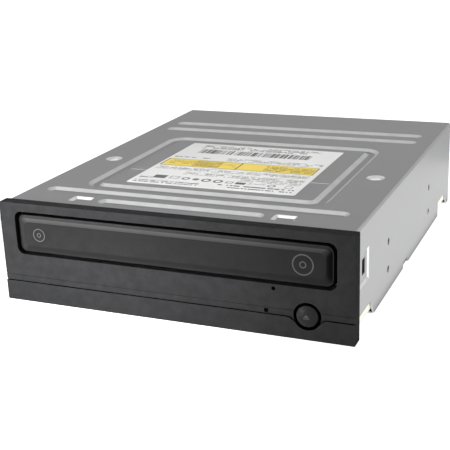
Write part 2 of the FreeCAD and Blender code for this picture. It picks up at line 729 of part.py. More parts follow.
def clip_window(gap):
    """The window in each side of the cover that the front plate's clip snaps into, seen along X."""
    start = COVER_FRONT + size.clip_start
    middle = size.clip_middle
    half = size.clip_half
    return block(start - gap, start + size.clip_long + gap, middle - half - gap, middle + half + gap)


def screw_places():
    front, rear = depth(size.cover_screw_front), depth(size.cover_screw_rear)
    return [(side * size.cover_screw_x, y) for y in (front, rear) for side in (-1, 1)]


def countersink(gap):
    """Section of a sunk screw head and its shank, from the outside of the bottom sheet upwards."""
    head, shank = size.screw_head + gap, size.screw_shank + gap
    low = size.case_lift
    top = low + size.screw_long
    return [(0, low), (head, low), (shank, SHEET_TOP), (shank, top), (0, top)]


def make_bottom_cover():
    """The bottom sheet, with the rear wall folded up from it."""
    body = new_body("bottom_cover")
    low = size.case_lift
    solid(body, "XY", low, SHEET_TOP, block(-INNER_HALF, INNER_HALF, COVER_FRONT, REAR))
    top = INNER_TOP - size.press_gap
    solid(body, "XZ", REAR - size.steel, REAR, [
        (-INNER_HALF, low), (INNER_HALF, low), (INNER_HALF, top, size.fold), (-INNER_HALF, top, size.fold)])
    back = INNER_HALF - size.notch_inset
    for side in (-1, 1):
        cut(body, "YZ", *span(side, back, INNER_HALF), *corner_notches(low - 1)[:2])
    cut(body, "XY", low, SHEET_TOP, *bottom_hole_loops(size.mount_radius))
    for x, y in screw_places():
        turned(body, "XZ", y, x, countersink(size.bore_fit), away=True)
    cut(body, "XZ", REAR - size.steel, REAR, *connector_windows(size.press_gap))
    slots = [block(x - 1, x + 1, size.vent_low, size.vent_low + size.vent_high) for x in vent_places()]
    cut(body, "XZ", REAR - size.steel, REAR, *slots)
    return keep("bottom_cover", body)


def vent_places():
    return [size.vent_pitch * index for index in range(-4, 5)]


def cross_loop(x, y):
    """Outline of the cross in a screw head."""
    far, near = size.cross_long, size.cross_wide
    steps = ((far, near), (near, near), (near, far))
    corners = []
    for turn in ((1, 1), (-1, 1), (-1, -1), (1, -1)):
        part = steps if turn[0] * turn[1] > 0 else steps[::-1]
        corners += [(x + turn[0] * across, y + turn[1] * along) for across, along in part]
    return corners


def pan_screw(name, x, y, low, seat):
    """A screw with a raised head that sits at seat and points down to low."""
    body = new_body(name)
    shank, head, edge = size.screw_shank, size.screw_head, size.head_edge
    top = seat + size.head_high
    turned(body, "XZ", y, x, [
        (0, low), (shank, low), (shank, seat), (head, seat),
        (head, top - edge), (head - edge, top), (0, top)])
    cut(body, "XY", top - size.cross_deep, top, cross_loop(x, y))
    return body


def make_cover_screws():
    bodies = []
    for x, y in screw_places():
        body = new_body("cover_screw")
        turned(body, "XZ", y, x, countersink(0))
        cut(body, "XY", size.case_lift, size.case_lift + size.cross_deep, cross_loop(x, y))
        bodies.append(body)
    return group("cover_screws", bodies)


def make_label():
    body = new_body("rating_label")
    outline = block(-size.label_half, size.label_half, depth(size.label_front), depth(size.label_rear), 1)
    solid(body, "XY", CASE_TOP, CASE_TOP + size.label_thick, outline)
    return keep("rating_label", body)


def strip_edge(side, rise):
    """The upper edge of the strip beside the button, from the plate's end inwards, raised by rise."""
    x, level = size.button_x, size.step_height + rise
    turn, foot = size.strip_turn - rise / 2, size.strip_foot - rise / 2
    return [
        (side * size.bezel_width / 2, level), (x + side * turn, level, size.strip_round + rise),
        (x + side * foot, size.button_z - size.strip_foot)]


def make_bezel():
    """The moulded front plate."""
    body = new_body("front_bezel")
    half = size.bezel_width / 2
    mouth = block(-size.mouth_half, size.mouth_half, size.mouth_bottom, size.mouth_top, size.mouth_corner)
    lamp, wide = size.lamp_x, size.lamp_width / 2
    window = block(lamp - wide, lamp + wide, size.lamp_z - wide, size.lamp_z + wide)
    solid(body, "XZ", FACE, COVER_FRONT,
          block(-half, half, 0, size.bezel_height, size.bezel_corner), mouth, window,
          circle(size.button_x, size.button_z, size.button_hole),
          circle(size.pinhole_x, size.pinhole_z, size.pinhole_radius))
    hollow = FACE + size.bezel_wall
    edge = size.bezel_wall
    left, right = edge - half, size.lamp_x - size.lamp_wall
    cut(body, "XZ", hollow, COVER_FRONT, block(left, right, edge, size.mouth_bottom - edge, 1))
    fine = size.fine_line
    low, high = size.groove_height - fine, size.groove_height + fine
    cut(body, "XZ", FACE, FACE + fine, block(-half, half, low, high))
    rise = size.step_line * 2
    for side in (-1, 1):
        band = strip_edge(side, 0) + strip_edge(side, rise)[::-1]
        cut(body, "XZ", FACE, FACE + size.step_drop, band)
    corner = size.bezel_corner
    proud = FACE - size.strip_proud
    solid(body, "XZ", proud, FACE, [
        (-half, 0, corner), (half, 0, corner), *strip_edge(1, 0), *strip_edge(-1, 0)[::-1]])
    cut(body, "XZ", proud, FACE, circle(size.button_x, size.button_z, size.button_hole))
    arm_out = CASE_HALF - size.steel - size.recess_deep - size.press_gap
    start, end = COVER_FRONT, COVER_FRONT + size.clip_start + size.clip_long
    for side in (-1, 1):
        solid(body, "YZ", *span(side, arm_out - size.clip_thick, arm_out),
              block(start, end, size.clip_middle - size.clip_half, size.clip_middle + size.clip_half))
        catch = CASE_HALF - size.recess_deep - size.clip_sunk
        solid(body, "YZ", *span(side, arm_out, catch), clip_window(0))
    return keep("front_bezel", body)


def make_door():
    """The tray's pillow-shaped front."""
    body = new_body("tray_door")
    half = size.mouth_half - size.door_gap
    low, high = size.mouth_bottom + size.door_gap, size.mouth_top - size.door_gap
    corner = size.mouth_corner - size.door_gap
    rim = FACE + size.door_crown
    solid(body, "XZ", rim, FACE + size.door_thick, block(-half, half, low, high, corner))
    inset = size.door_rim
    base = sketch_on(body, "XZ", rim)
    draw(base, [block(inset - half, half - inset, low + inset, high - inset, corner)])
    inset = size.door_rim + size.door_slope
    crown = sketch_on(body, "XZ", FACE)
    draw(crown, [block(inset - half, half - inset, low + inset, high - inset, corner)])
    loft = body.newObject("PartDesign::AdditiveLoft", "pillow")
    loft.Profile = base
    loft.Sections = [crown]
    loft.Ruled = True
    return keep("tray_door", body)


RACK_PITCH = size.coarse_module * math.pi
RACK_LEAD = 3  # tooth gaps in front of the gear when the tray is shut
PRESSURE_ANGLE = 20  # degrees


def make_tray():
    """The disc tray, open at the rear for the turntable and the pickup, with the rack beneath."""
    body = new_body("disc_tray")
    front, rear = FACE + size.door_thick, depth(size.tray_end)
    half, wall = size.tray_half, size.tray_wall
    low, high = size.tray_low, size.tray_high
    solid(body, "XY", low, high, [(-half, front), (half, front), (half, rear, 4), (-half, rear, 4)])
    cut(body, "XY", low, high - wall,
        block(wall - half, half - wall, front + wall, rear - wall, 3),
        circle(0, DISC_Y, size.disc_well + wall))
    cut(body, "XY", low + wall, high, circle(0, DISC_Y, size.disc_well))
    cut(body, "XY", low + wall - size.small_drop, low + wall, circle(0, DISC_Y, size.small_well))
    near = DISC_Y - size.table_radius - size.slot_lead
    slot = size.slot_half
    cut(body, "XY", low, high, [(-slot, near, 10), (slot, near, 10), (slot, rear + 1), (-slot, rear + 1)])
    cut(body, "XY", low + wall + 0.6, high, circle(0, DISC_Y - size.disc_well, size.finger_radius))
    gear_y = depth(size.gear_depth)
    tip = size.coarse_module - size.rack_line
    root = 0 - size.rack_line - size.coarse_module * 1.25
    under = low - size.rack_high
    gaps = int(number(size.tray_travel) / number(RACK_PITCH)) + 2
    solid(body, "XY", under, low, block(
        root - size.rack_back, tip,
        gear_y - RACK_PITCH * (RACK_LEAD + 0.75), gear_y + RACK_PITCH * gaps))
    lean = math.tan(math.radians(PRESSURE_ANGLE))
    wide_half = RACK_PITCH / 4 + size.backlash / 4 + size.coarse_module * lean
    deep_half = RACK_PITCH / 4 + size.backlash / 4 - size.coarse_module * 1.25 * lean
    first = gear_y - RACK_PITCH * RACK_LEAD
    tooth_gap = cut(body, "XY", under, low, [
        (tip, first - wide_half), (tip, first + wide_half),
        (root, first + deep_half), (root, first - deep_half)])
    row(body, tooth_gap, "Y", RACK_PITCH, gaps + RACK_LEAD + 1)
    return keep("disc_tray", body)


def gear_wire(teeth, module, slack, turn):
    """An involute gear's outline about the origin, one tooth centred on the angle turn."""
    pitch = module * teeth / 2
    base = pitch * math.cos(math.radians(PRESSURE_ANGLE))
    tip = pitch + module
    root = pitch - 1.25 * module
    pressure = math.radians(PRESSURE_ANGLE)
    half_tooth = math.pi / (2 * teeth) - slack / (4 * pitch) + math.tan(pressure) - pressure

    def flank(radius):
        """Angle between the tooth's middle and its flank at a radius."""
        if radius <= base:
            return half_tooth
        roll = math.acos(base / radius)
        return half_tooth - (math.tan(roll) - roll)

    def spot(radius, angle):
        return Vector(radius * math.cos(angle), radius * math.sin(angle), 0)

    start = max(base, root)
    middle = (start + tip) / 2
    edges = []
    for index in range(teeth):
        centre = turn + 2 * math.pi * index / teeth
        following = centre + 2 * math.pi / teeth
        rise = [spot(radius, centre - flank(radius)) for radius in (start, middle, tip)]
        fall = [spot(radius, centre + flank(radius)) for radius in (tip, middle, start)]
        if root < start:
            edges.append(Part.LineSegment(spot(root, centre - half_tooth), rise[0]))
        edges.append(Part.Arc(*rise))
        edges.append(Part.Arc(rise[2], spot(tip, centre), fall[0]))
        edges.append(Part.Arc(*fall))
        foot = fall[2]
        if root < start:
            foot = spot(root, centre + half_tooth)
            edges.append(Part.LineSegment(fall[2], foot))
        gap_end = spot(root, following - half_tooth) if root < start else spot(
            start, following - flank(start))
        edges.append(Part.Arc(foot, spot(root, centre + math.pi / teeth), gap_end))
    return Part.Wire([edge.toShape() for edge in edges])


def wheel(teeth, module, turn, low, high):
    """A toothed wheel between two heights, about the Z axis."""
    count = int(number(teeth))
    outline = gear_wire(count, number(module), number(size.backlash), turn)
    face = Part.Face(outline)
    face.translate(Vector(0, 0, number(low)))
    return face.extrude(Vector(0, 0, number(high - low)))


def drum(radius, low, high):
    """A plain cylinder about the Z axis."""
    return Part.makeCylinder(number(radius), number(high - low), Vector(0, 0, number(low)))


def placed(name, shape, x, y):
    """A finished shape as one piece, put in its place."""
    item = document.addObject("Part::Feature", name)
    item.Shape = shape.removeSplitter()
    item.Placement = Placement(Vector(number(x), number(y), 0), Rotation())
    return keep(name, item)


# The loading gears stand in one line across the drive. Each angle is that of a tooth's middle.
GEAR_Y = depth(size.gear_depth)
TRAY_GEAR_X = size.coarse_module * size.tray_gear_teeth / 2 - size.rack_line
IDLER_X = TRAY_GEAR_X + size.coarse_module * (size.tray_gear_teeth + size.idler_small_teeth) / 2
PULLEY_X = IDLER_X + size.fine_module * (size.idler_big_teeth + size.pinion_teeth) / 2
MOTOR_X = PULLEY_X + size.motor_gap
WHEEL_LOW = FLOOR_TOP + size.wheel_lift
WHEEL_STEP = WHEEL_LOW + size.coarse_face
FINE_LOW = WHEEL_STEP + size.wheel_gap
FINE_HIGH = FINE_LOW + size.fine_face
PULLEY_LOW = FLOOR_TOP + size.motor_height + size.wheel_gap
PULLEY_HIGH = PULLEY_LOW + size.pulley_face
RACK_LOW = size.tray_low - size.rack_high
TRAY_GEAR_TOP = size.tray_low - size.wheel_gap


def meshing_turn(turn, teeth, other_teeth):
    """The turn of a gear to the right of one with a tooth at the angle turn, both in mesh."""
    count, other = number(teeth), number(other_teeth)
    return math.pi - turn * count / other + math.pi / other


def pulley_rim(radius, low, high):
    """A drum with a square groove for the belt."""
    middle = (low + high) / 2
    half = size.belt_section / 2 + size.bore_fit
    rim = drum(radius + size.belt_section, low, high)
    ring = drum(radius + size.belt_section + 1, middle - half, middle + half)
    return rim.cut(ring.cut(drum(radius, low, high)))


def make_gears():
    tray_turn = math.pi
    idler_turn = meshing_turn(tray_turn, size.tray_gear_teeth, size.idler_small_teeth)
    pulley_turn = meshing_turn(idler_turn, size.idler_big_teeth, size.pinion_teeth)
    bore = size.gear_pin + size.bore_fit
    coarse = size.coarse_module
    shape = wheel(size.tray_gear_teeth, coarse, tray_turn, WHEEL_LOW, WHEEL_STEP)
    upper = wheel(size.tray_gear_teeth, coarse, tray_turn, RACK_LOW, TRAY_GEAR_TOP)
    neck = drum(size.neck_radius, WHEEL_STEP, RACK_LOW)
    shape = shape.fuse([neck, upper]).cut(drum(bore, WHEEL_LOW, TRAY_GEAR_TOP))
    placed("tray_gear", shape, TRAY_GEAR_X, GEAR_Y)
    shape = wheel(size.idler_small_teeth, coarse, idler_turn, WHEEL_LOW, FINE_LOW)
    shape = shape.fuse(wheel(size.idler_big_teeth, size.fine_module, idler_turn, FINE_LOW, FINE_HIGH))
    placed("idler_gear", shape.cut(drum(bore, WHEEL_LOW, FINE_HIGH)), IDLER_X, GEAR_Y)
    shape = wheel(size.pinion_teeth, size.fine_module, pulley_turn, FINE_LOW, PULLEY_LOW)
    shape = shape.fuse(pulley_rim(size.pulley_radius, PULLEY_LOW, PULLEY_HIGH))
    placed("pulley_gear", shape.cut(drum(bore, FINE_LOW, PULLEY_HIGH)), PULLEY_X, GEAR_Y)


def belt_face(slack):
    """The area inside a belt that runs round both pulleys at a distance from their grooves."""
    large, small = number(size.pulley_radius + slack), number(size.motor_pulley_radius + slack)
    gap = number(size.motor_gap)
    lean = math.acos((large - small) / gap)

    def spot(middle, radius, angle):
        return Vector(middle + radius * math.cos(angle), radius * math.sin(angle), 0)

    upper, lower = spot(0, large, lean), spot(0, large, -lean)
    far_upper, far_lower = spot(gap, small, lean), spot(gap, small, -lean)
    edges = [
        Part.Arc(upper, spot(0, large, math.pi), lower),
        Part.LineSegment(lower, far_lower),
        Part.Arc(far_lower, spot(gap, small, 0), far_upper),
        Part.LineSegment(far_upper, upper),
    ]
    return Part.Face(Part.Wire([edge.toShape() for edge in edges]))


def make_belt_drive():
    low = (PULLEY_LOW + PULLEY_HIGH - size.belt_section) / 2
    outer, inner = belt_face(size.bore_fit + size.belt_section), belt_face(size.bore_fit)
    face = outer.cut(inner)
    face.translate(Vector(0, 0, number(low)))
    placed("drive_belt", face.extrude(Vector(0, 0, number(size.belt_section))), PULLEY_X, GEAR_Y)
    shaft = size.motor_shaft
    shape = pulley_rim(size.motor_pulley_radius, PULLEY_LOW, PULLEY_HIGH)
    placed("motor_pulley", shape.cut(drum(shaft, PULLEY_LOW, PULLEY_HIGH)), MOTOR_X, GEAR_Y)
    socket = FLOOR_TOP + size.motor_height - size.shaft_seat
    body = new_body("motor_shaft")
    solid(body, "XY", socket, PULLEY_HIGH, circle(MOTOR_X, GEAR_Y, shaft))
    keep("motor_shaft", body)
    body = new_body("loading_motor")
    top = FLOOR_TOP + size.motor_height
    solid(body, "XY", FLOOR_TOP, top, circle(MOTOR_X, GEAR_Y, size.motor_radius))
    cut(body, "XY", socket, top, circle(MOTOR_X, GEAR_Y, shaft + size.bore_fit))
    keep("loading_motor", body)


def sine(angle):
    """Sine of an angle that the sheet holds in degrees."""
    return Size(math.sin(math.radians(angle.number)), f"sin({angle.formula} * 1deg)")


RAIL_X = size.tray_half + size.slide_fit
RAIL_LIP = size.tray_half - size.lip_reach
RAIL_LOW = size.tray_low - size.slide_fit
RAIL_HIGH = size.tray_high + size.slide_fit
RAIL_TOP = RAIL_HIGH + size.tab_thick
FRAME_FRONT = COVER_FRONT
FRAME_REAR = REAR - size.steel - size.press_gap
PIVOT_Y = depth(size.pivot_depth)
BRACKET_X = size.lift_half + size.side_gap
BRIDGE_LOW = size.bridge_low


def board_screw_places():
    x = size.board_half - size.board_screw_in
    front, rear = depth(size.board_front) + size.board_screw_in, FRAME_REAR - size.board_screw_rear
    return [(side * x, y) for y in (front, rear) for side in (-1, 1)]


def bridge_screw_places():
    y = size.bridge_half_depth - size.board_screw_in
    return [(side * size.bridge_screw_x, DISC_Y + end * y) for end in (-1, 1) for side in (-1, 1)]


def make_main_frame():
    """The plastic frame that carries everything: walls, floor, tray rails, pins and brackets."""
    body = new_body("main_frame")
    half, wall = INNER_HALF, size.frame_wall
    low = size.wall_low
    front, rear = FRAME_FRONT, FRAME_REAR
    floor_rear = depth(size.floor_end)
    solid(body, "XY", low, RAIL_LOW, block(-half, half, front, rear),
          block(wall - half, half - wall, front + wall, rear - wall))
    solid(body, "XY", size.floor_low, FLOOR_TOP, block(-half, half, front, floor_rear))
    for side in (-1, 1):
        lip, inner, outer = side * RAIL_LIP, side * RAIL_X, side * half
        under = RAIL_LOW - size.rail_thick
        solid(body, "XZ", front, depth(size.rail_end), [
            (outer, under), (lip, under), (lip, RAIL_LOW), (inner, RAIL_LOW),
            (inner, RAIL_TOP), (outer, RAIL_TOP)])
        for place in (size.tab_first, size.disc_at, size.tab_last):
            solid(body, "XY", RAIL_HIGH, RAIL_TOP, block(
                *span(side, RAIL_LIP, RAIL_X),
                depth(place) - size.tab_half, depth(place) + size.tab_half))
        y0, y1 = DISC_Y - size.bridge_half_depth, DISC_Y + size.bridge_half_depth
        solid(body, "XY", RAIL_TOP, BRIDGE_LOW, block(*span(side, RAIL_X, half), y0, y1))
        seat = block(*span(side, RAIL_LIP - size.lip_reach, half), floor_rear - wall, rear)
        solid(body, "XY", BOARD_TOP, BOARD_TOP + size.floor_thick, seat)
        post = block(*span(side, BRACKET_X, BRACKET_X + size.bracket_thick),
                     PIVOT_Y - size.bracket_half, depth(size.lift_end) + size.cross_gap + wall)
        solid(body, "XY", size.bracket_low, size.bracket_high, post)
    cross = depth(size.lift_end) + size.cross_gap
    solid(body, "XY", size.bracket_low, size.bracket_high, block(-half, half, cross, cross + wall))
    cut(body, "XY", size.floor_low, FLOOR_TOP,
        block(-size.well_half, size.well_half, depth(size.well_front), floor_rear + 1))
    top = size.mouth_bottom - size.press_gap
    cut(body, "XZ", front, front + wall, block(-RAIL_LIP, RAIL_LIP, top, RAIL_LOW + 1))
    cut(body, "XZ", rear - wall, rear, block(wall - half, half - wall, low, size.rear_sill))
    cut(body, "YZ", -half, half, circle(PIVOT_Y, size.pivot_height, size.pivot_radius + size.bore_fit))
    for side in (-1, 1):
        cut(body, "YZ", *span(side, half - wall, half), *side_hole_loops(size.mount_radius + size.bolt_room))
        cut(body, "YZ", *span(side, half - wall - size.clip_thick, half), block(
            front, front + size.recess_long + wall, size.recess_low - wall, size.recess_high + wall))
    cut(body, "XY", low, size.mount_low, *bottom_hole_loops(size.mount_radius + size.bolt_room))
    for x, y in screw_places():
        solid(body, "XY", SHEET_TOP, FLOOR_TOP, circle(x, y, size.boss_radius))
        cut(body, "XY", SHEET_TOP, size.case_lift + size.screw_long,
            circle(x, y, size.screw_shank + size.bore_fit))
    for x, y in board_screw_places():
        cut(body, "XY", BOARD_TOP, BOARD_TOP + size.floor_thick,
            circle(x, y, size.screw_shank + size.bore_fit))
    for x, y in bridge_screw_places():
        cut(body, "XY", BRIDGE_LOW - size.screw_long, BRIDGE_LOW,
            circle(x, y, size.screw_shank + size.bore_fit))
    pin_top = ((TRAY_GEAR_X, TRAY_GEAR_TOP), (IDLER_X, FINE_HIGH), (PULLEY_X, PULLEY_HIGH))
    for x, gear_top in pin_top:
        solid(body, "XY", FLOOR_TOP, WHEEL_LOW - size.press_gap, circle(x, GEAR_Y, size.neck_radius))
        solid(body, "XY", FLOOR_TOP, gear_top, circle(x, GEAR_Y, size.gear_pin))
    shoulder = size.neck_radius
    solid(body, "XY", FLOOR_TOP, FINE_LOW - size.press_gap, circle(PULLEY_X, GEAR_Y, shoulder))
    grip = size.motor_radius + size.press_gap
    solid(body, "XY", FLOOR_TOP, FLOOR_TOP + size.motor_seat,
          circle(MOTOR_X, GEAR_Y, grip + size.frame_wall), circle(MOTOR_X, GEAR_Y, grip))
    foot = depth(size.cam_front)
    for x in (-size.cam_guide_x, size.cam_guide_x):
        left, right = x - size.cam_lug, x + size.cam_lug
        lug_top = CAM_FOOT_TOP + size.slide_fit + size.tab_thick
        back = foot - size.slide_fit
        solid(body, "YZ", left, right, [
            (back - wall, FLOOR_TOP), (back, FLOOR_TOP), (back, lug_top - size.tab_thick),
            (back + wall, lug_top - size.tab_thick), (back + wall, lug_top), (back - wall, lug_top)])
    ridge = depth(size.cam_rear) + size.slide_fit
    solid(body, "XY", FLOOR_TOP, FLOOR_TOP + size.ridge_high,
          block(-size.well_half, size.well_half, ridge, depth(size.well_front)))
    cut(body, "XZ", front, front + wall,
        circle(size.button_x, size.button_z, size.button_flange + size.side_gap),
        circle(size.pinhole_x, size.pinhole_z, size.pinhole_radius + size.side_gap),
        block(size.lamp_x - size.lamp_foot, size.lamp_x + size.lamp_foot,
              size.lamp_z - size.lamp_foot, size.lamp_z + size.lamp_foot))
    return keep("main_frame", body)


CAM_FOOT_LOW = FLOOR_TOP + size.slide_fit
CAM_FOOT_TOP = CAM_FOOT_LOW + size.floor_thick
CAM_DROP = (size.pivot_depth - size.cam_rear + size.cam_thick / 2) * sine(size.lift_angle)


def cam_slot(x):
    """The slanted slot that carries one pin of the lift frame, level at both ends."""
    room = size.cam_pin_radius + size.cam_room
    rise = room * 1.1
    high, low = size.cam_pin_height, size.cam_pin_height - CAM_DROP
    far = x - size.cam_travel
    rest = size.cam_rest
    return [
        (x + rest + room, high - rise, room - 0.1), (x + rest + room, high + rise, room - 0.1),
        (x, high + rise), (far, low + rise),
        (far - rest - room, low + rise, room - 0.1), (far - rest - room, low - rise, room - 0.1),
        (far, low - rise), (x, high - rise),
    ]


def make_cam_slider():
    body = new_body("cam_slider")
    front, rear = depth(size.cam_front), depth(size.cam_rear)
    plate = rear - size.cam_thick
    spread = size.cam_travel + size.cam_rest + size.cam_margin
    left, right = -size.cam_pin_x - spread, size.cam_pin_x + size.cam_margin + size.cam_rest
    top = size.cam_pin_height + size.cam_pin_radius * 2
    solid(body, "XZ", plate, rear, [(left, CAM_FOOT_LOW), (right, CAM_FOOT_LOW),
                                    (right, top, 1), (left, top, 1)])
    solid(body, "XY", CAM_FOOT_LOW, CAM_FOOT_TOP, block(left, right, front, plate))
    cut(body, "XZ", plate, rear, cam_slot(size.cam_pin_x), cam_slot(-size.cam_pin_x))
    arm = size.pinhole_x + size.pinhole_radius + 1
    low = size.pinhole_z - size.arm_half
    high = size.pinhole_z + size.arm_half
    solid(body, "XZ", plate, rear, block(right - 1, arm, low, high))
    ramp = arm - size.ramp_long
    solid(body, "XY", low, high, [(ramp, plate), (arm, plate), (arm, plate - size.ramp_long)])
    return keep("cam_slider", body)


def damper_places():
    x = size.deck_half - size.damper_in
    return [(side * x, depth(place)) for place in (size.damper_front, size.damper_rear) for side in (-1, 1)]


EAR_TOP = size.deck_low - size.damper_high


def make_lift_frame():
    """The frame that swings the traverse up to the disc and down again."""
    body = new_body("lift_frame")
    half, wall = size.lift_half, size.lift_wall
    front, rear = depth(size.lift_front), depth(size.lift_end)
    low, high = size.lift_low, size.lift_high
    solid(body, "XY", low, high, block(-half, half, front, rear, 3),
          block(wall - half, half - wall, front + wall, rear - wall, 2))
    for side in (-1, 1):
        solid(body, "XZ", depth(size.cam_rear - size.cam_thick) - 1, front,
              circle(side * size.cam_pin_x, size.cam_pin_height, size.cam_pin_radius))
        solid(body, "YZ", *span(side, half, BRACKET_X + size.bracket_thick - size.slide_fit),
              circle(PIVOT_Y, size.pivot_height, size.pivot_radius))
    for x, y in damper_places():
        side = 1 if number(x) > 0 else -1
        inner = size.deck_half - size.damper_in - size.damper_radius
        reach = size.damper_radius
        solid(body, "XY", low, EAR_TOP, block(*span(side, inner, half - wall), y - reach, y + reach))
        cut(body, "XY", low, EAR_TOP, circle(x, y, size.screw_shank + size.bore_fit))
    return keep("lift_frame", body)


DAMPER_TOP = DECK_TOP + size.damper_cap


def make_dampers():
    bodies, screws = [], []
    for x, y in damper_places():
        body = new_body("damper")
        bore, neck, outer = size.screw_shank + size.bore_fit, size.damper_neck, size.damper_radius
        turned(body, "XZ", y, x, [
            (bore, EAR_TOP), (outer, EAR_TOP), (outer, size.deck_low), (neck, size.deck_low),
            (neck, DECK_TOP), (outer, DECK_TOP), (outer, DAMPER_TOP), (bore, DAMPER_TOP)])
        bodies.append(body)
        screws.append(pan_screw("damper_screw", x, y, size.lift_low, DAMPER_TOP))
    group("deck_dampers", bodies)
    group("damper_screws", screws)


def make_deck():
    """The steel plate that carries the spindle, the guide rods and the feed motor."""
    body = new_body("traverse_deck")
    half, steel = size.deck_half, size.deck_steel
    front, rear = depth(size.deck_front), depth(size.deck_end)
    tab_front, tab_rear = depth(size.rod_front), ROD_END
    window = size.rod_x - size.tab_width - 1
    holes = [circle(x, y, size.damper_neck) for x, y in damper_places()]
    solid(body, "XY", size.deck_low, DECK_TOP, block(-half, half, front, rear, 2),
          block(-window, window, tab_front + steel + 1, tab_rear - steel - 1, 3),
          circle(0, DISC_Y, size.spin_boss), *holes)
    high = size.rod_height + size.rod_radius + 0.8
    for side in (-1, 1):
        x = side * size.rod_x
        for y in (tab_front, tab_rear - steel):
            solid(body, "XZ", y, y + steel, block(x - size.tab_width, x + size.tab_width, DECK_TOP, high))
    motor_end = depth(size.feed_front) + size.feed_long
    for y in (motor_end, tab_rear - steel):
        solid(body, "XZ", y, y + steel, block(-half, size.feed_radius - size.screw_x, DECK_TOP, high))
    room = size.screw_radius + size.bore_fit
    cut(body, "XZ", motor_end, tab_rear, circle(-size.screw_x, size.rod_height, room))
    rods = [circle(side * size.rod_x, size.rod_height, size.rod_radius) for side in (-1, 1)]
    cut(body, "XZ", tab_front, tab_rear, *rods)
    keep("traverse_deck", body)
    bodies = []
    for rod in rods:
        body = new_body("guide_rod")
        solid(body, "XZ", tab_front, tab_rear, rod)
        bodies.append(body)
    group("guide_rods", bodies)
    body = new_body("feed_motor")
    start = depth(size.feed_front)
    solid(body, "XZ", start, motor_end, circle(-size.screw_x, size.rod_height, size.feed_radius))
    cut(body, "XZ", motor_end - size.shaft_seat, motor_end, circle(-size.screw_x, size.rod_height, room))
    keep("feed_motor", body)
    body = new_body("lead_screw")
    solid(body, "XZ", motor_end - size.shaft_seat + size.slide_fit, tab_rear,
          circle(-size.screw_x, size.rod_height, size.screw_radius))
    keep("lead_screw", body)


ROTOR_LOW = DECK_TOP + size.stator_high + size.side_gap
TABLE_LOW = size.table_top - size.table_thick
RING_LOW = size.table_top - size.ring_thick


def make_spindle():
    """The disc motor: its base on the deck, its turning cup, the turntable and the rubber ring."""
    shaft = size.spin_shaft
    body = new_body("spindle_motor")
    bore = shaft + size.bore_fit
    turned(body, "XZ", DISC_Y, 0, [
        (bore, DECK_TOP), (size.spin_radius, DECK_TOP), (size.spin_radius, DECK_TOP + size.stator_high),
        (size.stator_core, DECK_TOP + size.stator_high), (size.stator_core, TABLE_LOW - 3),
        (bore, TABLE_LOW - 3)])
    keep("spindle_motor", body)
    body = new_body("spindle_rotor")
    cup = size.stator_core + size.side_gap
    turned(body, "XZ", DISC_Y, 0, [
        (0, DECK_TOP), (shaft, DECK_TOP), (shaft, TABLE_LOW - 1.6), (cup, TABLE_LOW - 1.6),
        (cup, ROTOR_LOW), (size.spin_radius, ROTOR_LOW), (size.spin_radius, TABLE_LOW - size.rotor_edge),
        (size.spin_radius - size.rotor_edge, TABLE_LOW), (0, TABLE_LOW)])
    keep("spindle_rotor", body)
    body = new_body("turntable")
    hub_top = size.table_top + size.hub_high
    seat = size.table_radius - size.ring_width
    turned(body, "XZ", DISC_Y, 0, [
        (0, TABLE_LOW), (size.table_radius, TABLE_LOW), (size.table_radius, RING_LOW), (seat, RING_LOW),
        (seat, RING_LOW + 0.2), (size.hub_radius, RING_LOW + 0.2), (size.hub_radius, size.table_top + 0.6),
        (size.hub_radius - 1.6, hub_top), (0, hub_top)])
    keep("turntable", body)
    body = new_body("turntable_ring")
    turned(body, "XZ", DISC_Y, 0, [
        (seat, RING_LOW), (size.table_radius, RING_LOW), (size.table_radius, size.table_top),
        (seat, size.table_top)])
    keep("turntable_ring", body)




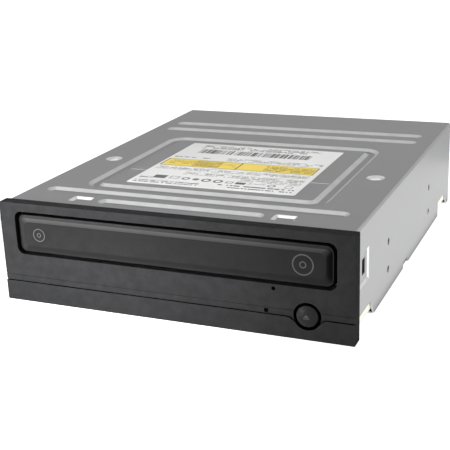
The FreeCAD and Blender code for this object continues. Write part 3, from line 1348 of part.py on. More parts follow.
def make_pickup():
    """The pickup on its two rods, the nut on the lead screw, and the lens in its holder."""
    low, high = size.pickup_low, size.pickup_high
    front, rear = LENS_Y - size.pickup_front, LENS_Y + size.pickup_rear
    half = size.pickup_half
    body = new_body("pickup_body")
    solid(body, "XY", low, high, block(-half, half, front, rear, 1.5))
    ear = size.rod_x + size.rod_radius + size.ear_wall
    ear_low = size.rod_height - size.rod_radius - size.bore_fit - size.ear_floor
    ear_high = size.rod_height + size.rod_radius + size.ear_wall
    solid(body, "XY", ear_low, ear_high, block(half, ear, front + 2, rear - 4))
    solid(body, "XY", ear_low, ear_high, block(-ear, -half, front, rear))
    rods = [circle(side * size.rod_x, size.rod_height, size.rod_radius + size.bore_fit) for side in (-1, 1)]
    cut(body, "XZ", front, rear, *rods)
    well, deep = size.lens_holder_half + size.side_gap, size.lens_holder_deep + size.side_gap
    cut(body, "XY", low + size.tray_wall, high, block(-well, well, LENS_Y - deep, LENS_Y + deep))
    keep("pickup_body", body)
    body = new_body("pickup_cover")
    solid(body, "XY", high, high + size.foil, block(
        1 - half, half - 1, LENS_Y + deep + 1, rear - 0.5, 1))
    keep("pickup_cover", body)
    body = new_body("feed_nut")
    inner = size.screw_x + size.screw_radius + size.ear_floor
    solid(body, "XY", ear_low, ear_high, block(-inner, -ear, LENS_Y - 3, rear - 3))
    cut(body, "XZ", LENS_Y - 3, rear - 3,
        circle(-size.screw_x, size.rod_height, size.screw_radius + size.bore_fit))
    keep("feed_nut", body)
    body = new_body("lens_holder")
    wide, deep = size.lens_holder_half, size.lens_holder_deep
    base = low + size.tray_wall + size.focus_travel + size.side_gap
    top = size.lens_top - size.lens_rise
    solid(body, "XY", base, top - 1.5, block(-wide, wide, LENS_Y - deep, LENS_Y + deep, 1))
    ring = size.lens_radius + 1
    solid(body, "XY", top - 1.5, top, circle(0, LENS_Y, ring))
    cut(body, "XY", top - 0.8, top, circle(0, LENS_Y, size.lens_radius))
    keep("lens_holder", body)
    body = new_body("objective_lens")
    turned(body, "XZ", LENS_Y, 0, [
        (0, top - 0.8), (size.lens_radius, top - 0.8), (size.lens_radius, top),
        (size.lens_radius * 0.6, size.lens_top, 2), (0, size.lens_top)])
    keep("objective_lens", body)


BRIDGE_TOP = size.bridge_low + size.bridge_steel
CLAMP_LOW = size.table_top + size.disc_thick
FLANGE_LOW = BRIDGE_TOP + size.clamp_lift


def make_clamp():
    """The bridge over the tray and the magnetic clamper that hangs in it."""
    body = new_body("clamp_bridge")
    front, rear = DISC_Y - size.bridge_half_depth, DISC_Y + size.bridge_half_depth
    low, high = size.bridge_low, BRIDGE_TOP
    half = INNER_HALF - size.side_gap
    holes = [circle(x, y, size.screw_shank + size.bore_fit) for x, y in bridge_screw_places()]
    solid(body, "XY", low, high, block(-half, half, front, rear, 2),
          circle(0, DISC_Y, size.clamp_hole), *holes)
    steel, lip = size.bridge_steel, size.bridge_lip
    end = size.bridge_screw_x - size.screw_head - 3
    for y in (front, rear - steel):
        solid(body, "XY", high, high + lip, block(-end, end, y, y + steel))
    keep("clamp_bridge", body)
    bodies = []
    for x, y in bridge_screw_places():
        bodies.append(pan_screw("bridge_screw", x, y, low + size.steel - size.screw_long, high))
    group("bridge_screws", bodies)
    top = FLANGE_LOW + size.clamp_rim
    hub = size.hub_radius + size.side_gap
    ceiling = size.table_top + size.hub_high + size.side_gap
    magnet_low = ceiling + size.clamp_web
    cavity = size.magnet_radius
    body = new_body("clamper")
    turned(body, "XZ", DISC_Y, 0, [
        (0, ceiling), (hub, ceiling), (hub, CLAMP_LOW), (size.clamp_radius, CLAMP_LOW),
        (size.clamp_radius, FLANGE_LOW), (size.clamp_flange, FLANGE_LOW), (size.clamp_flange, top),
        (cavity, top), (cavity, magnet_low), (0, magnet_low)])
    keep("clamper", body)
    body = new_body("clamper_magnet")
    magnet_top = magnet_low + size.magnet_high
    turned(body, "XZ", DISC_Y, 0, [
        (size.spin_shaft, magnet_low), (cavity, magnet_low), (cavity, magnet_top),
        (size.spin_shaft, magnet_top)])
    keep("clamper_magnet", body)
    body = new_body("clamper_yoke")
    turned(body, "XZ", DISC_Y, 0, [(0, magnet_top), (cavity, magnet_top), (cavity, top), (0, top)])
    keep("clamper_yoke", body)


# Rear connectors: the middle, half width and height of each, seen from above and behind.
CONNECTORS = (
    ("data", size.data_x, size.data_half, size.data_high),
    ("power", size.power_x, size.power_half, size.power_high),
    ("jumper", size.jumper_x, size.jumper_half, size.jumper_high),
    ("audio", size.audio_x, size.audio_half, size.audio_high),
)


def connector_windows(gap):
    """The openings of the rear wall, seen along Y."""
    low = BOARD_TOP
    return [block(x - half - gap, x + half + gap, low - gap, low + high + gap)
            for name, x, half, high in CONNECTORS]


def shroud(name, x, half, high, wall):
    """A plastic box header on the board, open to the rear."""
    body = new_body(name)
    front, low = REAR - size.shroud_long, BOARD_TOP
    solid(body, "XZ", front, REAR, block(x - half, x + half, low, low + high))
    cut(body, "XZ", front + size.shroud_base, REAR,
        block(x - half + wall, x + half - wall, low + wall, low + high - wall))
    keep(name, body)
    return body


def straight_pins(name, x, columns, rows, pitch, width, low):
    """Rows of square pins that stand out of a header's base towards the rear."""
    bodies = []
    start = REAR - size.shroud_long + size.shroud_base
    for column in range(columns):
        for level in range(rows):
            middle = x + pitch * (column - (columns - 1) / 2)
            height = low + pitch * (level - (rows - 1) / 2)
            pin = document.addObject("Part::Box", name + "_pin")
            bind(pin, "Length", width)
            bind(pin, "Height", width)
            bind(pin, "Width", size.pin_long)
            bind(pin, "Placement.Base.x", middle - width / 2)
            bind(pin, "Placement.Base.y", start)
            bind(pin, "Placement.Base.z", height - width / 2)
            bodies.append(pin)
    return group(name, bodies)


def make_connectors():
    wall = size.shroud_wall
    body = shroud("data_connector", size.data_x, size.data_half, size.data_high, wall)
    key = size.key_half
    cut(body, "XZ", REAR - size.key_long, REAR, block(
        size.data_x - key, size.data_x + key, BOARD_TOP + size.data_high - wall, BOARD_TOP + size.data_high))
    centre = BOARD_TOP + size.data_high / 2
    straight_pins("data_pins", size.data_x, 20, 2, size.pin_pitch, size.pin_width, centre)
    shroud("power_connector", size.power_x, size.power_half, size.power_high, wall)
    centre = BOARD_TOP + size.power_high / 2
    straight_pins("power_pins", size.power_x, 4, 1, size.pin_pitch * 2, size.power_pin, centre)
    shroud("jumper_block", size.jumper_x, size.jumper_half, size.jumper_high, size.thin_wall)
    centre = BOARD_TOP + size.jumper_high / 2
    straight_pins("jumper_pins", size.jumper_x, 3, 2, size.pin_pitch, size.pin_width, centre)
    shroud("audio_connector", size.audio_x, size.audio_half, size.audio_high, wall)
    centre = BOARD_TOP + size.audio_high / 2
    straight_pins("audio_pins", size.audio_x, 4, 1, size.pin_pitch, size.pin_width, centre)


# Chips by X, depth, half width, half depth and height, and capacitors by X, depth, radius and height.
CHIPS = (
    (0.0, 132.0, 10.0, 10.0, 1.6),
    (-30.0, 128.0, 9.0, 5.5, 2.0),
    (30.0, 126.0, 5.0, 9.0, 1.2),
    (-4.0, 156.0, 5.0, 3.0, 1.4),
)
CAPACITORS = (
    (-56.0, 112.0, 3.1, 7.0),
    (-56.0, 122.0, 3.1, 7.0),
    (56.0, 116.0, 2.5, 6.0),
    (56.0, 146.0, 2.5, 6.0),
)


def make_boards():
    """The main board with its parts, and the small board behind the front plate."""
    body = new_body("main_board")
    half, low = size.board_half, size.board_low
    front, rear = depth(size.board_front), FRAME_REAR - size.press_gap
    holes = [circle(x, y, size.screw_shank + size.bore_fit) for x, y in board_screw_places()]
    solid(body, "XY", low, BOARD_TOP, block(-half, half, front, rear), *holes)
    keep("main_board", body)
    bodies = []
    for x, y in board_screw_places():
        body = new_body("board_screw")
        head, edge, top = low - size.head_high, size.head_edge, BOARD_TOP + size.floor_thick
        turned(body, "XZ", y, x, [
            (0, head), (size.screw_head - edge, head), (size.screw_head, head + edge),
            (size.screw_head, low), (size.screw_shank, low), (size.screw_shank, top), (0, top)])
        cut(body, "XY", head, head + size.cross_deep, cross_loop(x, y))
        bodies.append(body)
    group("board_screws", bodies)
    bodies = []
    for x, place, wide, deep, high in CHIPS:
        body = new_body("chip")
        y = depth(place)
        solid(body, "XY", BOARD_TOP, BOARD_TOP + high, block(x - wide, x + wide, y - deep, y + deep))
        bodies.append(body)
    group("board_chips", bodies)
    bodies = []
    for x, place, radius, high in CAPACITORS:
        body = new_body("capacitor")
        turned(body, "XZ", depth(place), x, [
            (0, BOARD_TOP), (radius, BOARD_TOP), (radius, BOARD_TOP + high - size.head_edge),
            (radius - size.head_edge, BOARD_TOP + high), (0, BOARD_TOP + high)])
        bodies.append(body)
    group("board_capacitors", bodies)
    body = new_body("front_board")
    top = FLOOR_TOP + size.board_thick
    left, right = size.lamp_x - size.lamp_board, size.button_x + size.switch_half + 5
    front, rear = depth(size.front_board_at), depth(size.cam_front - 3)
    solid(body, "XY", FLOOR_TOP, top, block(left, right, front, rear))
    keep("front_board", body)


def make_button():
    """The eject button, the switch behind it and the lamp beside it."""
    x, z = size.button_x, size.button_z
    crown = FACE - size.button_proud
    stem_end = depth(size.plunger_at) - size.press_gap
    flange = COVER_FRONT + size.slide_fit
    lip = flange + size.lip_thick
    body = new_body("eject_button")
    turned(body, "XY", z, x, [
        (0, crown), (size.button_radius * 0.5, crown, 4), (size.button_radius, crown + size.dome_high, 0.6),
        (size.button_radius, flange), (size.button_flange, flange), (size.button_flange, lip),
        (size.stem_radius, lip), (size.stem_radius, stem_end), (0, stem_end)])
    keep("eject_button", body)
    board = FLOOR_TOP + size.board_thick
    front = depth(size.plunger_at) + size.plunger_long
    half = size.switch_half
    top = z + half
    body = new_body("eject_switch")
    room = size.plunger_radius + size.bore_fit
    solid(body, "XY", board, top, block(x - half, x + half, front, front + size.switch_long))
    cut(body, "XZ", front, front + size.plunger_socket, circle(x, z, room))
    keep("eject_switch", body)
    body = new_body("switch_plunger")
    solid(body, "XZ", depth(size.plunger_at), front + size.plunger_socket - size.button_travel - 0.2,
          circle(x, z, size.plunger_radius))
    keep("switch_plunger", body)
    lamp, wide = size.lamp_x, size.lamp_width / 2 - size.press_gap
    foot = size.lamp_foot - size.side_gap
    low = size.lamp_z
    body = new_body("lamp_pipe")
    solid(body, "XZ", FACE + size.lamp_back, depth(size.lamp_at), block(
        lamp - wide, lamp + wide, low - wide, low + wide))
    solid(body, "XZ", COVER_FRONT, COVER_FRONT + 1, block(lamp - foot, lamp + foot, low - foot, low + foot))
    keep("lamp_pipe", body)
    body = new_body("lamp")
    start = depth(size.lamp_at)
    solid(body, "XZ", start, start + size.lamp_long, circle(lamp, low, size.lamp_radius))
    solid(body, "XY", board, low + size.lamp_radius + 0.5, block(
        lamp - size.lamp_radius, lamp + size.lamp_radius, start + size.lamp_long,
        start + size.lamp_long + 3))
    keep("lamp", body)


make_top_cover()
make_bottom_cover()
make_cover_screws()
make_label()
make_bezel()
make_door()
make_tray()
make_gears()
make_belt_drive()
make_main_frame()
make_cam_slider()
make_lift_frame()
make_dampers()
make_deck()
make_spindle()
make_pickup()
make_clamp()
make_connectors()
make_boards()
make_button()
document.recompute()

failed = [item.Name for item in document.Objects if {"Invalid", "Error"} & set(item.State)]
for name, item in parts.items():
    shape = item.Shape
    if shape.isNull() or not shape.isValid() or not shape.Solids:
        failed.append(name)
if failed:
    raise RuntimeError("these did not build: " + ", ".join(failed))

os.makedirs("parts", exist_ok=True)
for name, item in parts.items():
    item.Shape.exportStep(f"parts/{name}.step")
print(len(parts), "pieces")
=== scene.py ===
import json
import math

import bpy
from mathutils import Matrix, Vector


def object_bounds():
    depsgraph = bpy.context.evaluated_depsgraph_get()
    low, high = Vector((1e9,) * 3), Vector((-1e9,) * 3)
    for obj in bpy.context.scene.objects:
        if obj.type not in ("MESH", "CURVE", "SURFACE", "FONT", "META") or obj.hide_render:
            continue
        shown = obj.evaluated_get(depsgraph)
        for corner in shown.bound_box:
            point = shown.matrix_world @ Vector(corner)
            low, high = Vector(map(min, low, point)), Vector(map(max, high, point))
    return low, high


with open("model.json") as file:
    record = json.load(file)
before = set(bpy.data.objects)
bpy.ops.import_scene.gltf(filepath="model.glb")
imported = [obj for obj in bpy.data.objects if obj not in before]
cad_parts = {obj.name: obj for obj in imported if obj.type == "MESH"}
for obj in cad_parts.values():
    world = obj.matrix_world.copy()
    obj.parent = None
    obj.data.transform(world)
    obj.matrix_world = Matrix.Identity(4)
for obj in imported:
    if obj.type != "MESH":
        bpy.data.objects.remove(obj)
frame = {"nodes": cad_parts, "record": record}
solid_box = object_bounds()

MM = 0.001

# Places on the part, in mm.
FACE = -91.0  # face of the front plate on Y
PLATE_BACK = -85.8  # back of the front plate on Y
PLATE_INSIDE = 73.4  # just inside the plate's two ends
PLATE_LOW = 0.7
PLATE_HIGH = 41.3
MOUTH_LOW = 20.1  # the opening for the tray
MOUTH_TOP = 38.8
BUTTON_MIDDLE = (56.0, 9.3)
MARK_HALF = 1.15  # half the width, and the height, of the triangle on the button
MARK_BAR = (-0.6, -0.25)  # the bar below it
DOOR_MIDDLE = (0.0, 29.45)
DOOR_HALF = (66.45, 8.25)
DOOR_CORNER = 3.4
DOOR_RIM = 0.5  # edge of the door that turns away into the gap, painted black as its shade
DOOR_LEAN = 0.3  # that painted shade is wider by this at the top and the right
DOOR_LINE = 0.4  # painted highlight line inside the edge
DOOR_STEP = 1.2  # flat part inside the edge
DOOR_FADE = (3.6, 1.9)  # the painted highlight and shade on the slopes fade out between these distances from the outline
DOOR_RINGS = (
    # middle across, middle height, outer radius, inner radius
    (-56.4, 29.2, 2.75, 2.35),
    (-56.4, 29.2, 0.95, 0.60),
    (54.5, 29.2, 4.10, 3.60),
    (54.5, 29.2, 1.35, 0.90),
)
FOLD_ACROSS = 71.8  # the cover's folds start here
FOLD_HIGH = 39.0
DIMPLES = ((-62.0, -17.0), (62.0, -17.0))
DIMPLE_SLOPE = 3.8  # radius of a dimple's slope, which gets a painted highlight, and of the dimple's brighter painted highlight core
DIMPLE_CORE = 2.2
# A painted highlight line along a fine crease on the cover, in mm: where it lies, then its half length and
# half width.
CREASE_AT = -31.0
CREASE_HALF = (46.0, 0.3)

# The camera's place in mm, its angles in degrees and its lens in mm.
CAMERA_PLACE = (157.8, -397.6, 153.2)
CAMERA_TURN = 23.44
CAMERA_RISE = 18.50
CAMERA_ROLL = -2.21
CAMERA_LENS = 77.34

# Lamps, in metres, watts and degrees.
LAMPS = (
    # name, place, target, width, height, power, spread
    ("overhead softbox", (-0.47, -0.30, 0.95), (0.0, 0.0, 0.0), 0.6, 0.6, 2.0, 180.0),
    ("right softbox", (0.66, 0.16, 0.38), (0.10, 0.03, 0.0), 1.0, 0.7, 2.8, 180.0),
    ("right floor panel", (0.175, -0.04, 0.0004), (0.175, -0.04, 1.0), 0.20, 0.42, 0.26, 180.0),
    ("front left softbox", (-0.36, -0.40, 0.10), (-0.05, -0.09, 0.034), 0.12, 0.10, 0.12, 15.0),
)
WORLD_LIGHT = 0.30
FLOOR_SIZE = 6.0  # half the floor's width, in metres
FLOOR_GLOW = 0.74  # lifts the floor to white where it is seen


def grey(value):
    return (value, value, value, 1.0)


def shade(colour, factor=1.0):
    """A colour made lighter or darker, with its alpha."""
    return tuple(min(1.0, part * factor) for part in colour) + (1.0,)


WHITE = grey(1.0)
# Painted shade for gaps, such as the plate's right end and the door's rim.
GAP_SHADE = grey(0.001)
# Painted shade for walls inside the front's openings.
WALL_SHADE = grey(0.0015)
# Painted highlight for the cover's slopes and crease.
HIGHLIGHT_STEEL = grey(0.75)
DUST = grey(0.4)
DOOR_TONES = (grey(0.020), grey(0.028))
# Painted highlight on the door's upward slopes, painted shade on its right slopes, and a painted highlight
# line inside its edge.
DOOR_UPPER_HIGHLIGHT = grey(0.088)
DOOR_RIGHT_SHADE = grey(0.0075)
DOOR_LINE_HIGHLIGHT = grey(0.08)
DOOR_RUBBED = grey(0.07)
DOOR_PRINT = grey(0.16)
BUTTON_PRINT = grey(0.14)

# Strengths, from 0 to 1.
MATT = 0.0006  # specular level of the front's plastic
PAPER_SHINE = 0.15  # specular level of the label
PLATE_END_SHADE = 0.42  # how far the plate's right end is painted towards black, as shade
MOUTH_LIT = 0.45  # what the lit walls of the tray's mouth keep of their tone
# Painted highlights on the cover: on its slopes, on its dimples and along a crease.
SLOPE_HIGHLIGHT = 0.66
DIMPLE_SLOPE_HIGHLIGHT = 0.3
DIMPLE_CORE_HIGHLIGHT = 0.6
CREASE_HIGHLIGHT = 0.55
PRINT_ON_FRONT = 0.6
PRINT_ON_BUTTON = 0.5

# Leans of a face, as parts of its direction: it begins to count at the first, and counts fully at the second.
DOOR_SLOPE = (0.12, 0.45)
PLATE_SIDE = (0.6, 0.9)

# Grain of moulded plastic, per metre. Heights of the relief and radii of soft edges, in metres.
PEBBLE = 2200.0
PLASTIC_RELIEF = 0.00006
SHEET_RELIEF = 0.00003
RUBBER_RELIEF = 0.00005
BOARD_RELIEF = 0.00008
PAPER_RELIEF = 0.00002
PLASTIC_EDGE = 0.00015
SHEET_EDGE = 0.0002
DOOR_EDGE = 0.0002


# Building blocks for the materials.

class Tree:
    """A node tree with short calls to add nodes and to wire or set their sockets."""

    def __init__(self, tree):
        self.tree = tree

    def add(self, kind, inputs=None, **settings):
        item = self.tree.nodes.new(kind)
        for key, value in settings.items():
            setattr(item, key, value)
        for key, value in (inputs or {}).items():
            self.put(item.inputs[key], value)
        return item

    def put(self, socket, value):
        if isinstance(value, bpy.types.NodeSocket):
            self.tree.links.new(value, socket)
        else:
            socket.default_value = value

    def maths(self, operation, first, second=0.0, third=0.0, clamp=False):
        item = self.add("ShaderNodeMath", operation=operation, use_clamp=clamp)
        for socket, value in zip(item.inputs, (first, second, third)):
            self.put(socket, value)
        return item.outputs[0]

    def product(self, first, *others):
        for other in others:
            first = self.maths("MULTIPLY", first, other)
        return first

    def largest(self, first, *others):
        for other in others:
            first = self.maths("MAXIMUM", first, other)
        return first

    def over(self, value, limit):
        return self.maths("GREATER_THAN", value, limit)

    def under(self, value, limit):
        return self.maths("LESS_THAN", value, limit)

    def mix(self, amount, first, second):
        item = self.add("ShaderNodeMix", data_type="RGBA")
        self.put(item.inputs[0], amount)
        self.put(item.inputs[6], first)
        self.put(item.inputs[7], second)
        return item.outputs[2]

    def blend(self, amount, first, second):
        item = self.add("ShaderNodeMix", data_type="FLOAT")
        self.put(item.inputs[0], amount)
        self.put(item.inputs[2], first)
        self.put(item.inputs[3], second)
        return item.outputs[0]

    def ramp(self, value, low, high):
        inputs = {"Value": value, "From Min": low, "From Max": high}
        return self.add("ShaderNodeMapRange", inputs, clamp=True).outputs["Result"]

    def split(self, vector):
        return self.add("ShaderNodeSeparateXYZ", {0: vector}).outputs

    def join(self, across, along):
        return self.add("ShaderNodeCombineXYZ", {"X": across, "Y": along}).outputs[0]

    def facing(self):
        """The three parts of the direction in which the surface looks."""
        return self.split(self.add("ShaderNodeNewGeometry").outputs["Normal"])

    def scaled(self, vector, x, y, z):
        item = self.add("ShaderNodeVectorMath", {0: vector, 1: (x, y, z)}, operation="MULTIPLY")
        return item.outputs[0]

    def in_mm(self, place):
        return self.scaled(place, 1 / MM, 1 / MM, 1 / MM)

    def noise(self, vector, scale, detail=2.0, rough=0.5):
        item = self.add("ShaderNodeTexNoise", {
            "Vector": vector, "Scale": scale, "Detail": detail, "Roughness": rough})
        return item.outputs["Fac"]

    def chance(self, **inputs):
        """A steady random value for each cell: of one number W, or of a Vector on a plane."""
        kind = "1D" if "W" in inputs else "2D"
        return self.add("ShaderNodeTexWhiteNoise", inputs, noise_dimensions=kind).outputs["Value"]

    def seen(self):
        """1 for the rays of the camera, of reflections and of what shows through."""
        rays = self.add("ShaderNodeLightPath").outputs
        return self.largest(rays["Is Camera Ray"], rays["Is Glossy Ray"], rays["Is Transmission Ray"])

    def group(self, name, inputs):
        item = self.add("ShaderNodeGroup", node_tree=bpy.data.node_groups[name])
        for key, value in inputs.items():
            self.put(item.inputs[key], value)
        return item.outputs

    def block(self, place, left, right, near, far):
        edges = {"Place": place, "Left": left, "Right": right, "Near": near, "Far": far}
        return self.group("printed block", edges)["Mask"]

    def ring(self, place, across, along, outer, inner=-1.0):
        """A printed ring, or a full disc where no inner radius is given."""
        sizes = {"Place": place, "Across": across, "Along": along, "Outer": outer, "Inner": inner}
        return self.group("printed ring", sizes)["Mask"]


FLOAT = "NodeSocketFloat"
PLACE = ("Place", "NodeSocketVector", None)


def effect(name, inputs, outputs):
    """Starts a node group with named sockets; gives its tree, its inputs and its output sockets."""
    group = bpy.data.node_groups.new(name, "ShaderNodeTree")
    for label, kind, value in inputs:
        socket = group.interface.new_socket(label, in_out="INPUT", socket_type=kind)
        if value is not None:
            socket.default_value = value
    for label in outputs:
        group.interface.new_socket(label, in_out="OUTPUT", socket_type=FLOAT)
    tree = Tree(group)
    return tree, tree.add("NodeGroupInput").outputs, tree.add("NodeGroupOutput").inputs


def make_moulded_grain():
    """The fine pebbled texture that a spark-eroded mould leaves, with soft flow marks."""
    tree, given, out = effect("moulded grain", [PLACE, ("Size", FLOAT, PEBBLE), ("Flow", FLOAT, 45.0)],
                              ["Height", "Tone"])
    pebble = tree.noise(given["Place"], given["Size"], 3.0, 0.6)
    flow = tree.noise(given["Place"], given["Flow"], 2.0, 0.4)
    tree.put(out["Height"], pebble)
    tree.put(out["Tone"], tree.maths("MULTIPLY_ADD", flow, 0.7, tree.product(pebble, 0.3)))


def make_rolled_sheet():
    """Rolled and plated sheet: long faint rolling lines, a soft cloudiness and small handling marks."""
    tree, given, out = effect("rolled sheet", [PLACE, ("Grain", FLOAT, 900.0)], ["Height", "Tone", "Marks"])
    lines = tree.noise(tree.scaled(given["Place"], 0.02, 1.0, 1.0), given["Grain"], 3.0, 0.65)
    cloud = tree.noise(given["Place"], 28.0, 3.0, 0.5)
    speck = tree.noise(given["Place"], 3400.0, 2.0, 0.6)
    tree.put(out["Height"], tree.maths("MULTIPLY_ADD", lines, 0.6, tree.product(speck, 0.4)))
    tree.put(out["Tone"], tree.maths("MULTIPLY_ADD", cloud, 0.6, tree.product(lines, 0.4)))
    scratch = tree.noise(tree.scaled(given["Place"], 1.0, 0.06, 1.0), 420.0, 1.0, 0.5)
    tree.put(out["Marks"], tree.ramp(scratch, 0.70, 0.78))


def make_rubbed_edges():
    """Where edges are rubbed: 1 on outer edges, in broken patches."""
    tree, given, out = effect("rubbed edges", [PLACE, ("Reach", FLOAT, 0.1)], ["Mask"])
    shape = tree.add("ShaderNodeNewGeometry").outputs["Pointiness"]
    rim = tree.ramp(shape, 0.505, tree.maths("ADD", 0.5, given["Reach"]))
    broken = tree.noise(given["Place"], 260.0, 3.0, 0.6)
    tree.put(out["Mask"], tree.product(rim, tree.ramp(broken, 0.35, 0.65)))


def make_settled_dust():
    """Thin dust on faces that look up, thicker in patches."""
    tree, given, out = effect("settled dust", [PLACE], ["Mask"])
    patch = tree.noise(given["Place"], 60.0, 4.0, 0.6)
    tree.put(out["Mask"], tree.product(tree.ramp(tree.facing()["Z"], 0.6, 1.0), tree.ramp(patch, 0.45, 0.8)))


def make_slope_highlights():
    """Where highlights are painted on the cover: 1 where the sheet leans away from all three axes, weaker in
    patches.

    The cover's long folds lean too, but get less of the painted highlight.
    """
    tree, given, out = effect("painted slope highlights", [PLACE], ["Mask"])
    squarest = tree.largest(*(tree.maths("ABSOLUTE", side) for side in tree.facing()))
    highlit_slopes = tree.maths("SUBTRACT", 1.0, tree.ramp(squarest, 0.80, 0.995))
    across, _, high = tree.split(given["Place"])
    fold = tree.product(
        tree.over(tree.maths("ABSOLUTE", across), FOLD_ACROSS * MM), tree.over(high, FOLD_HIGH * MM))
    patchiness = tree.ramp(tree.noise(given["Place"], 160.0, 2.0, 0.5), 0.1, 0.6)
    tree.put(out["Mask"], tree.product(
        highlit_slopes, tree.maths("MULTIPLY_ADD", fold, -0.7, 1.0), tree.maths("MULTIPLY_ADD", patchiness, 0.35, 0.65)))


def make_wall_shade():
    """Painted shade: 1 on walls that look away from the front, inside the outline of the front plate, and on
    all that lies behind the plate's back.

    With Lit at 1, the walls of the tray's mouth that catch the light stay as they are.
    """
    tree, given, out = effect("painted wall shade", [PLACE, ("Lit", FLOAT, 0.0)], ["Mask"])
    across, deep, high = tree.split(given["Place"])
    to_right, facing, upward = tree.facing()
    inside = tree.product(tree.under(tree.maths("ABSOLUTE", across), PLATE_INSIDE * MM),
                          tree.under(high, PLATE_HIGH * MM), tree.over(high, PLATE_LOW * MM))
    wall = tree.product(inside, tree.over(facing, -0.45))
    catches = tree.product(tree.over(tree.largest(to_right, upward), 0.3),
                           tree.under(high, MOUTH_TOP * MM), tree.over(high, MOUTH_LOW * MM))
    wall = tree.maths("SUBTRACT", wall, tree.product(catches, given["Lit"]), clamp=True)
    tree.put(out["Mask"], tree.largest(wall, tree.over(deep, PLATE_BACK * MM)))


def make_printed_block():
    """A printed rectangle: 1 inside its four edges."""
    tree, given, out = effect("printed block", [
        PLACE, ("Left", FLOAT, 0.0), ("Right", FLOAT, 0.0), ("Near", FLOAT, 0.0), ("Far", FLOAT, 0.0)],
        ["Mask"])
    across, along = tree.split(given["Place"])[:2]
    tree.put(out["Mask"], tree.product(
        tree.over(across, given["Left"]), tree.under(across, given["Right"]),
        tree.over(along, given["Near"]), tree.under(along, given["Far"])))


def make_printed_ring():
    """A printed ring: 1 between its two radii."""
    tree, given, out = effect("printed ring", [
        PLACE, ("Across", FLOAT, 0.0), ("Along", FLOAT, 0.0), ("Outer", FLOAT, 1.0), ("Inner", FLOAT, 0.5)],
        ["Mask"])
    spot = tree.join(*tree.split(given["Place"])[:2])
    middle = tree.join(given["Across"], given["Along"])
    far = tree.add("ShaderNodeVectorMath", {0: spot, 1: middle}, operation="DISTANCE").outputs["Value"]
    tree.put(out["Mask"], tree.product(tree.under(far, given["Outer"]), tree.over(far, given["Inner"])))


def make_printed_bars():
    """Upright bars of uneven width, that mean nothing."""
    tree, given, out = effect("printed bars", [
        PLACE, ("Pitch", FLOAT, 0.6), ("Filled", FLOAT, 0.6)], ["Mask"])
    cell = tree.maths("FLOOR", tree.maths("DIVIDE", tree.split(given["Place"])["X"], given["Pitch"]))
    tree.put(out["Mask"], tree.under(tree.chance(W=cell), given["Filled"]))


def make_printed_lines():
    """Rows of short strokes at word spacing, in place of small print."""
    tree, given, out = effect("printed lines", [
        PLACE, ("Line", FLOAT, 2.0), ("Letter", FLOAT, 0.5), ("Filled", FLOAT, 0.8)], ["Mask"])
    across, along = tree.split(given["Place"])[:2]
    level = tree.maths("DIVIDE", along, given["Line"])
    number = tree.maths("FLOOR", level)
    within = tree.maths("FRACT", level)
    step = tree.maths("DIVIDE", across, given["Letter"])
    word = tree.chance(Vector=tree.join(tree.maths("FLOOR", tree.maths("DIVIDE", step, 5.0)), number))
    letter = tree.chance(Vector=tree.join(tree.maths("FLOOR", step), number))
    tree.put(out["Mask"], tree.product(
        tree.over(within, 0.22), tree.under(within, 0.80), tree.under(word, given["Filled"]),
        tree.under(tree.maths("FRACT", step), tree.maths("ADD", letter, 0.3)), tree.over(letter, 0.12)))


for make in (
        make_moulded_grain, make_rolled_sheet, make_rubbed_edges, make_settled_dust, make_slope_highlights,
        make_wall_shade, make_printed_block, make_printed_ring, make_printed_bars, make_printed_lines):
    make()


def start_material(name):
    """A material with its own Principled shader; gives it, its tree, the shader and the place in metres."""
    material = bpy.data.materials.new(name)
    material.use_nodes = True
    material.node_tree.nodes.clear()
    tree = Tree(material.node_tree)
    shader = tree.add("ShaderNodeBsdfPrincipled")
    tree.add("ShaderNodeOutputMaterial", {"Surface": shader.outputs[0]})
    place = tree.add("ShaderNodeTexCoord").outputs["Object"]
    return material, tree, shader, place


def lay_bump(tree, shader, height, strength, distance, soften=0.0):
    """Feeds a height to the shader, over edges softened by a small radius in metres."""
    inputs = {"Height": height, "Strength": strength, "Distance": distance}
    if soften:
        inputs["Normal"] = tree.add("ShaderNodeBevel", {"Radius": soften}, samples=4).outputs[0]
    tree.put(shader.inputs["Normal"], tree.add("ShaderNodeBump", inputs).outputs[0])


def plastic(name, colour, rough, spread=0.12, size=PEBBLE, strength=0.25, edge=None, dust=0.0,
            shine=0.5, walls=False, mark=None):
    """A moulded plastic: grain and flow marks, and where asked rubbed edges, dust, painted shade on walls and
    on faces that look right, or a mark.
    """
    material, tree, shader, place = start_material(name)
    shader.inputs["Specular IOR Level"].default_value = shine
    grain = tree.group("moulded grain", {"Place": place, "Size": size})
    tone = tree.mix(grain["Tone"], shade(colour, 1 - spread), shade(colour, 1 + spread))
    if edge:
        rub = tree.group("rubbed edges", {"Place": place})["Mask"]
        tone = tree.mix(tree.product(rub, 0.35), tone, shade(edge))
    if dust:
        film = tree.group("settled dust", {"Place": place})["Mask"]
        tone = tree.mix(tree.product(film, dust), tone, DUST)
    if mark:
        tone = tree.mix(mark(tree, place), tone, BUTTON_PRINT)
    if walls:
        # Painted shade on faces that look right, such as the plate's right end.
        end = tree.ramp(tree.facing()["X"], *PLATE_SIDE)
        tone = tree.mix(tree.product(end, PLATE_END_SHADE), tone, GAP_SHADE)
        # Painted shade on walls in the openings and on all behind the plate's back.
        inner = tree.group("painted wall shade", {"Place": place, "Lit": MOUTH_LIT})["Mask"]
        tone = tree.mix(inner, tone, WALL_SHADE)
    tree.put(shader.inputs["Base Color"], tone)
    tree.put(shader.inputs["Roughness"], tree.blend(grain["Tone"], rough - 0.05, rough + 0.07))
    lay_bump(tree, shader, grain["Height"], strength, PLASTIC_RELIEF, PLASTIC_EDGE)
    return material


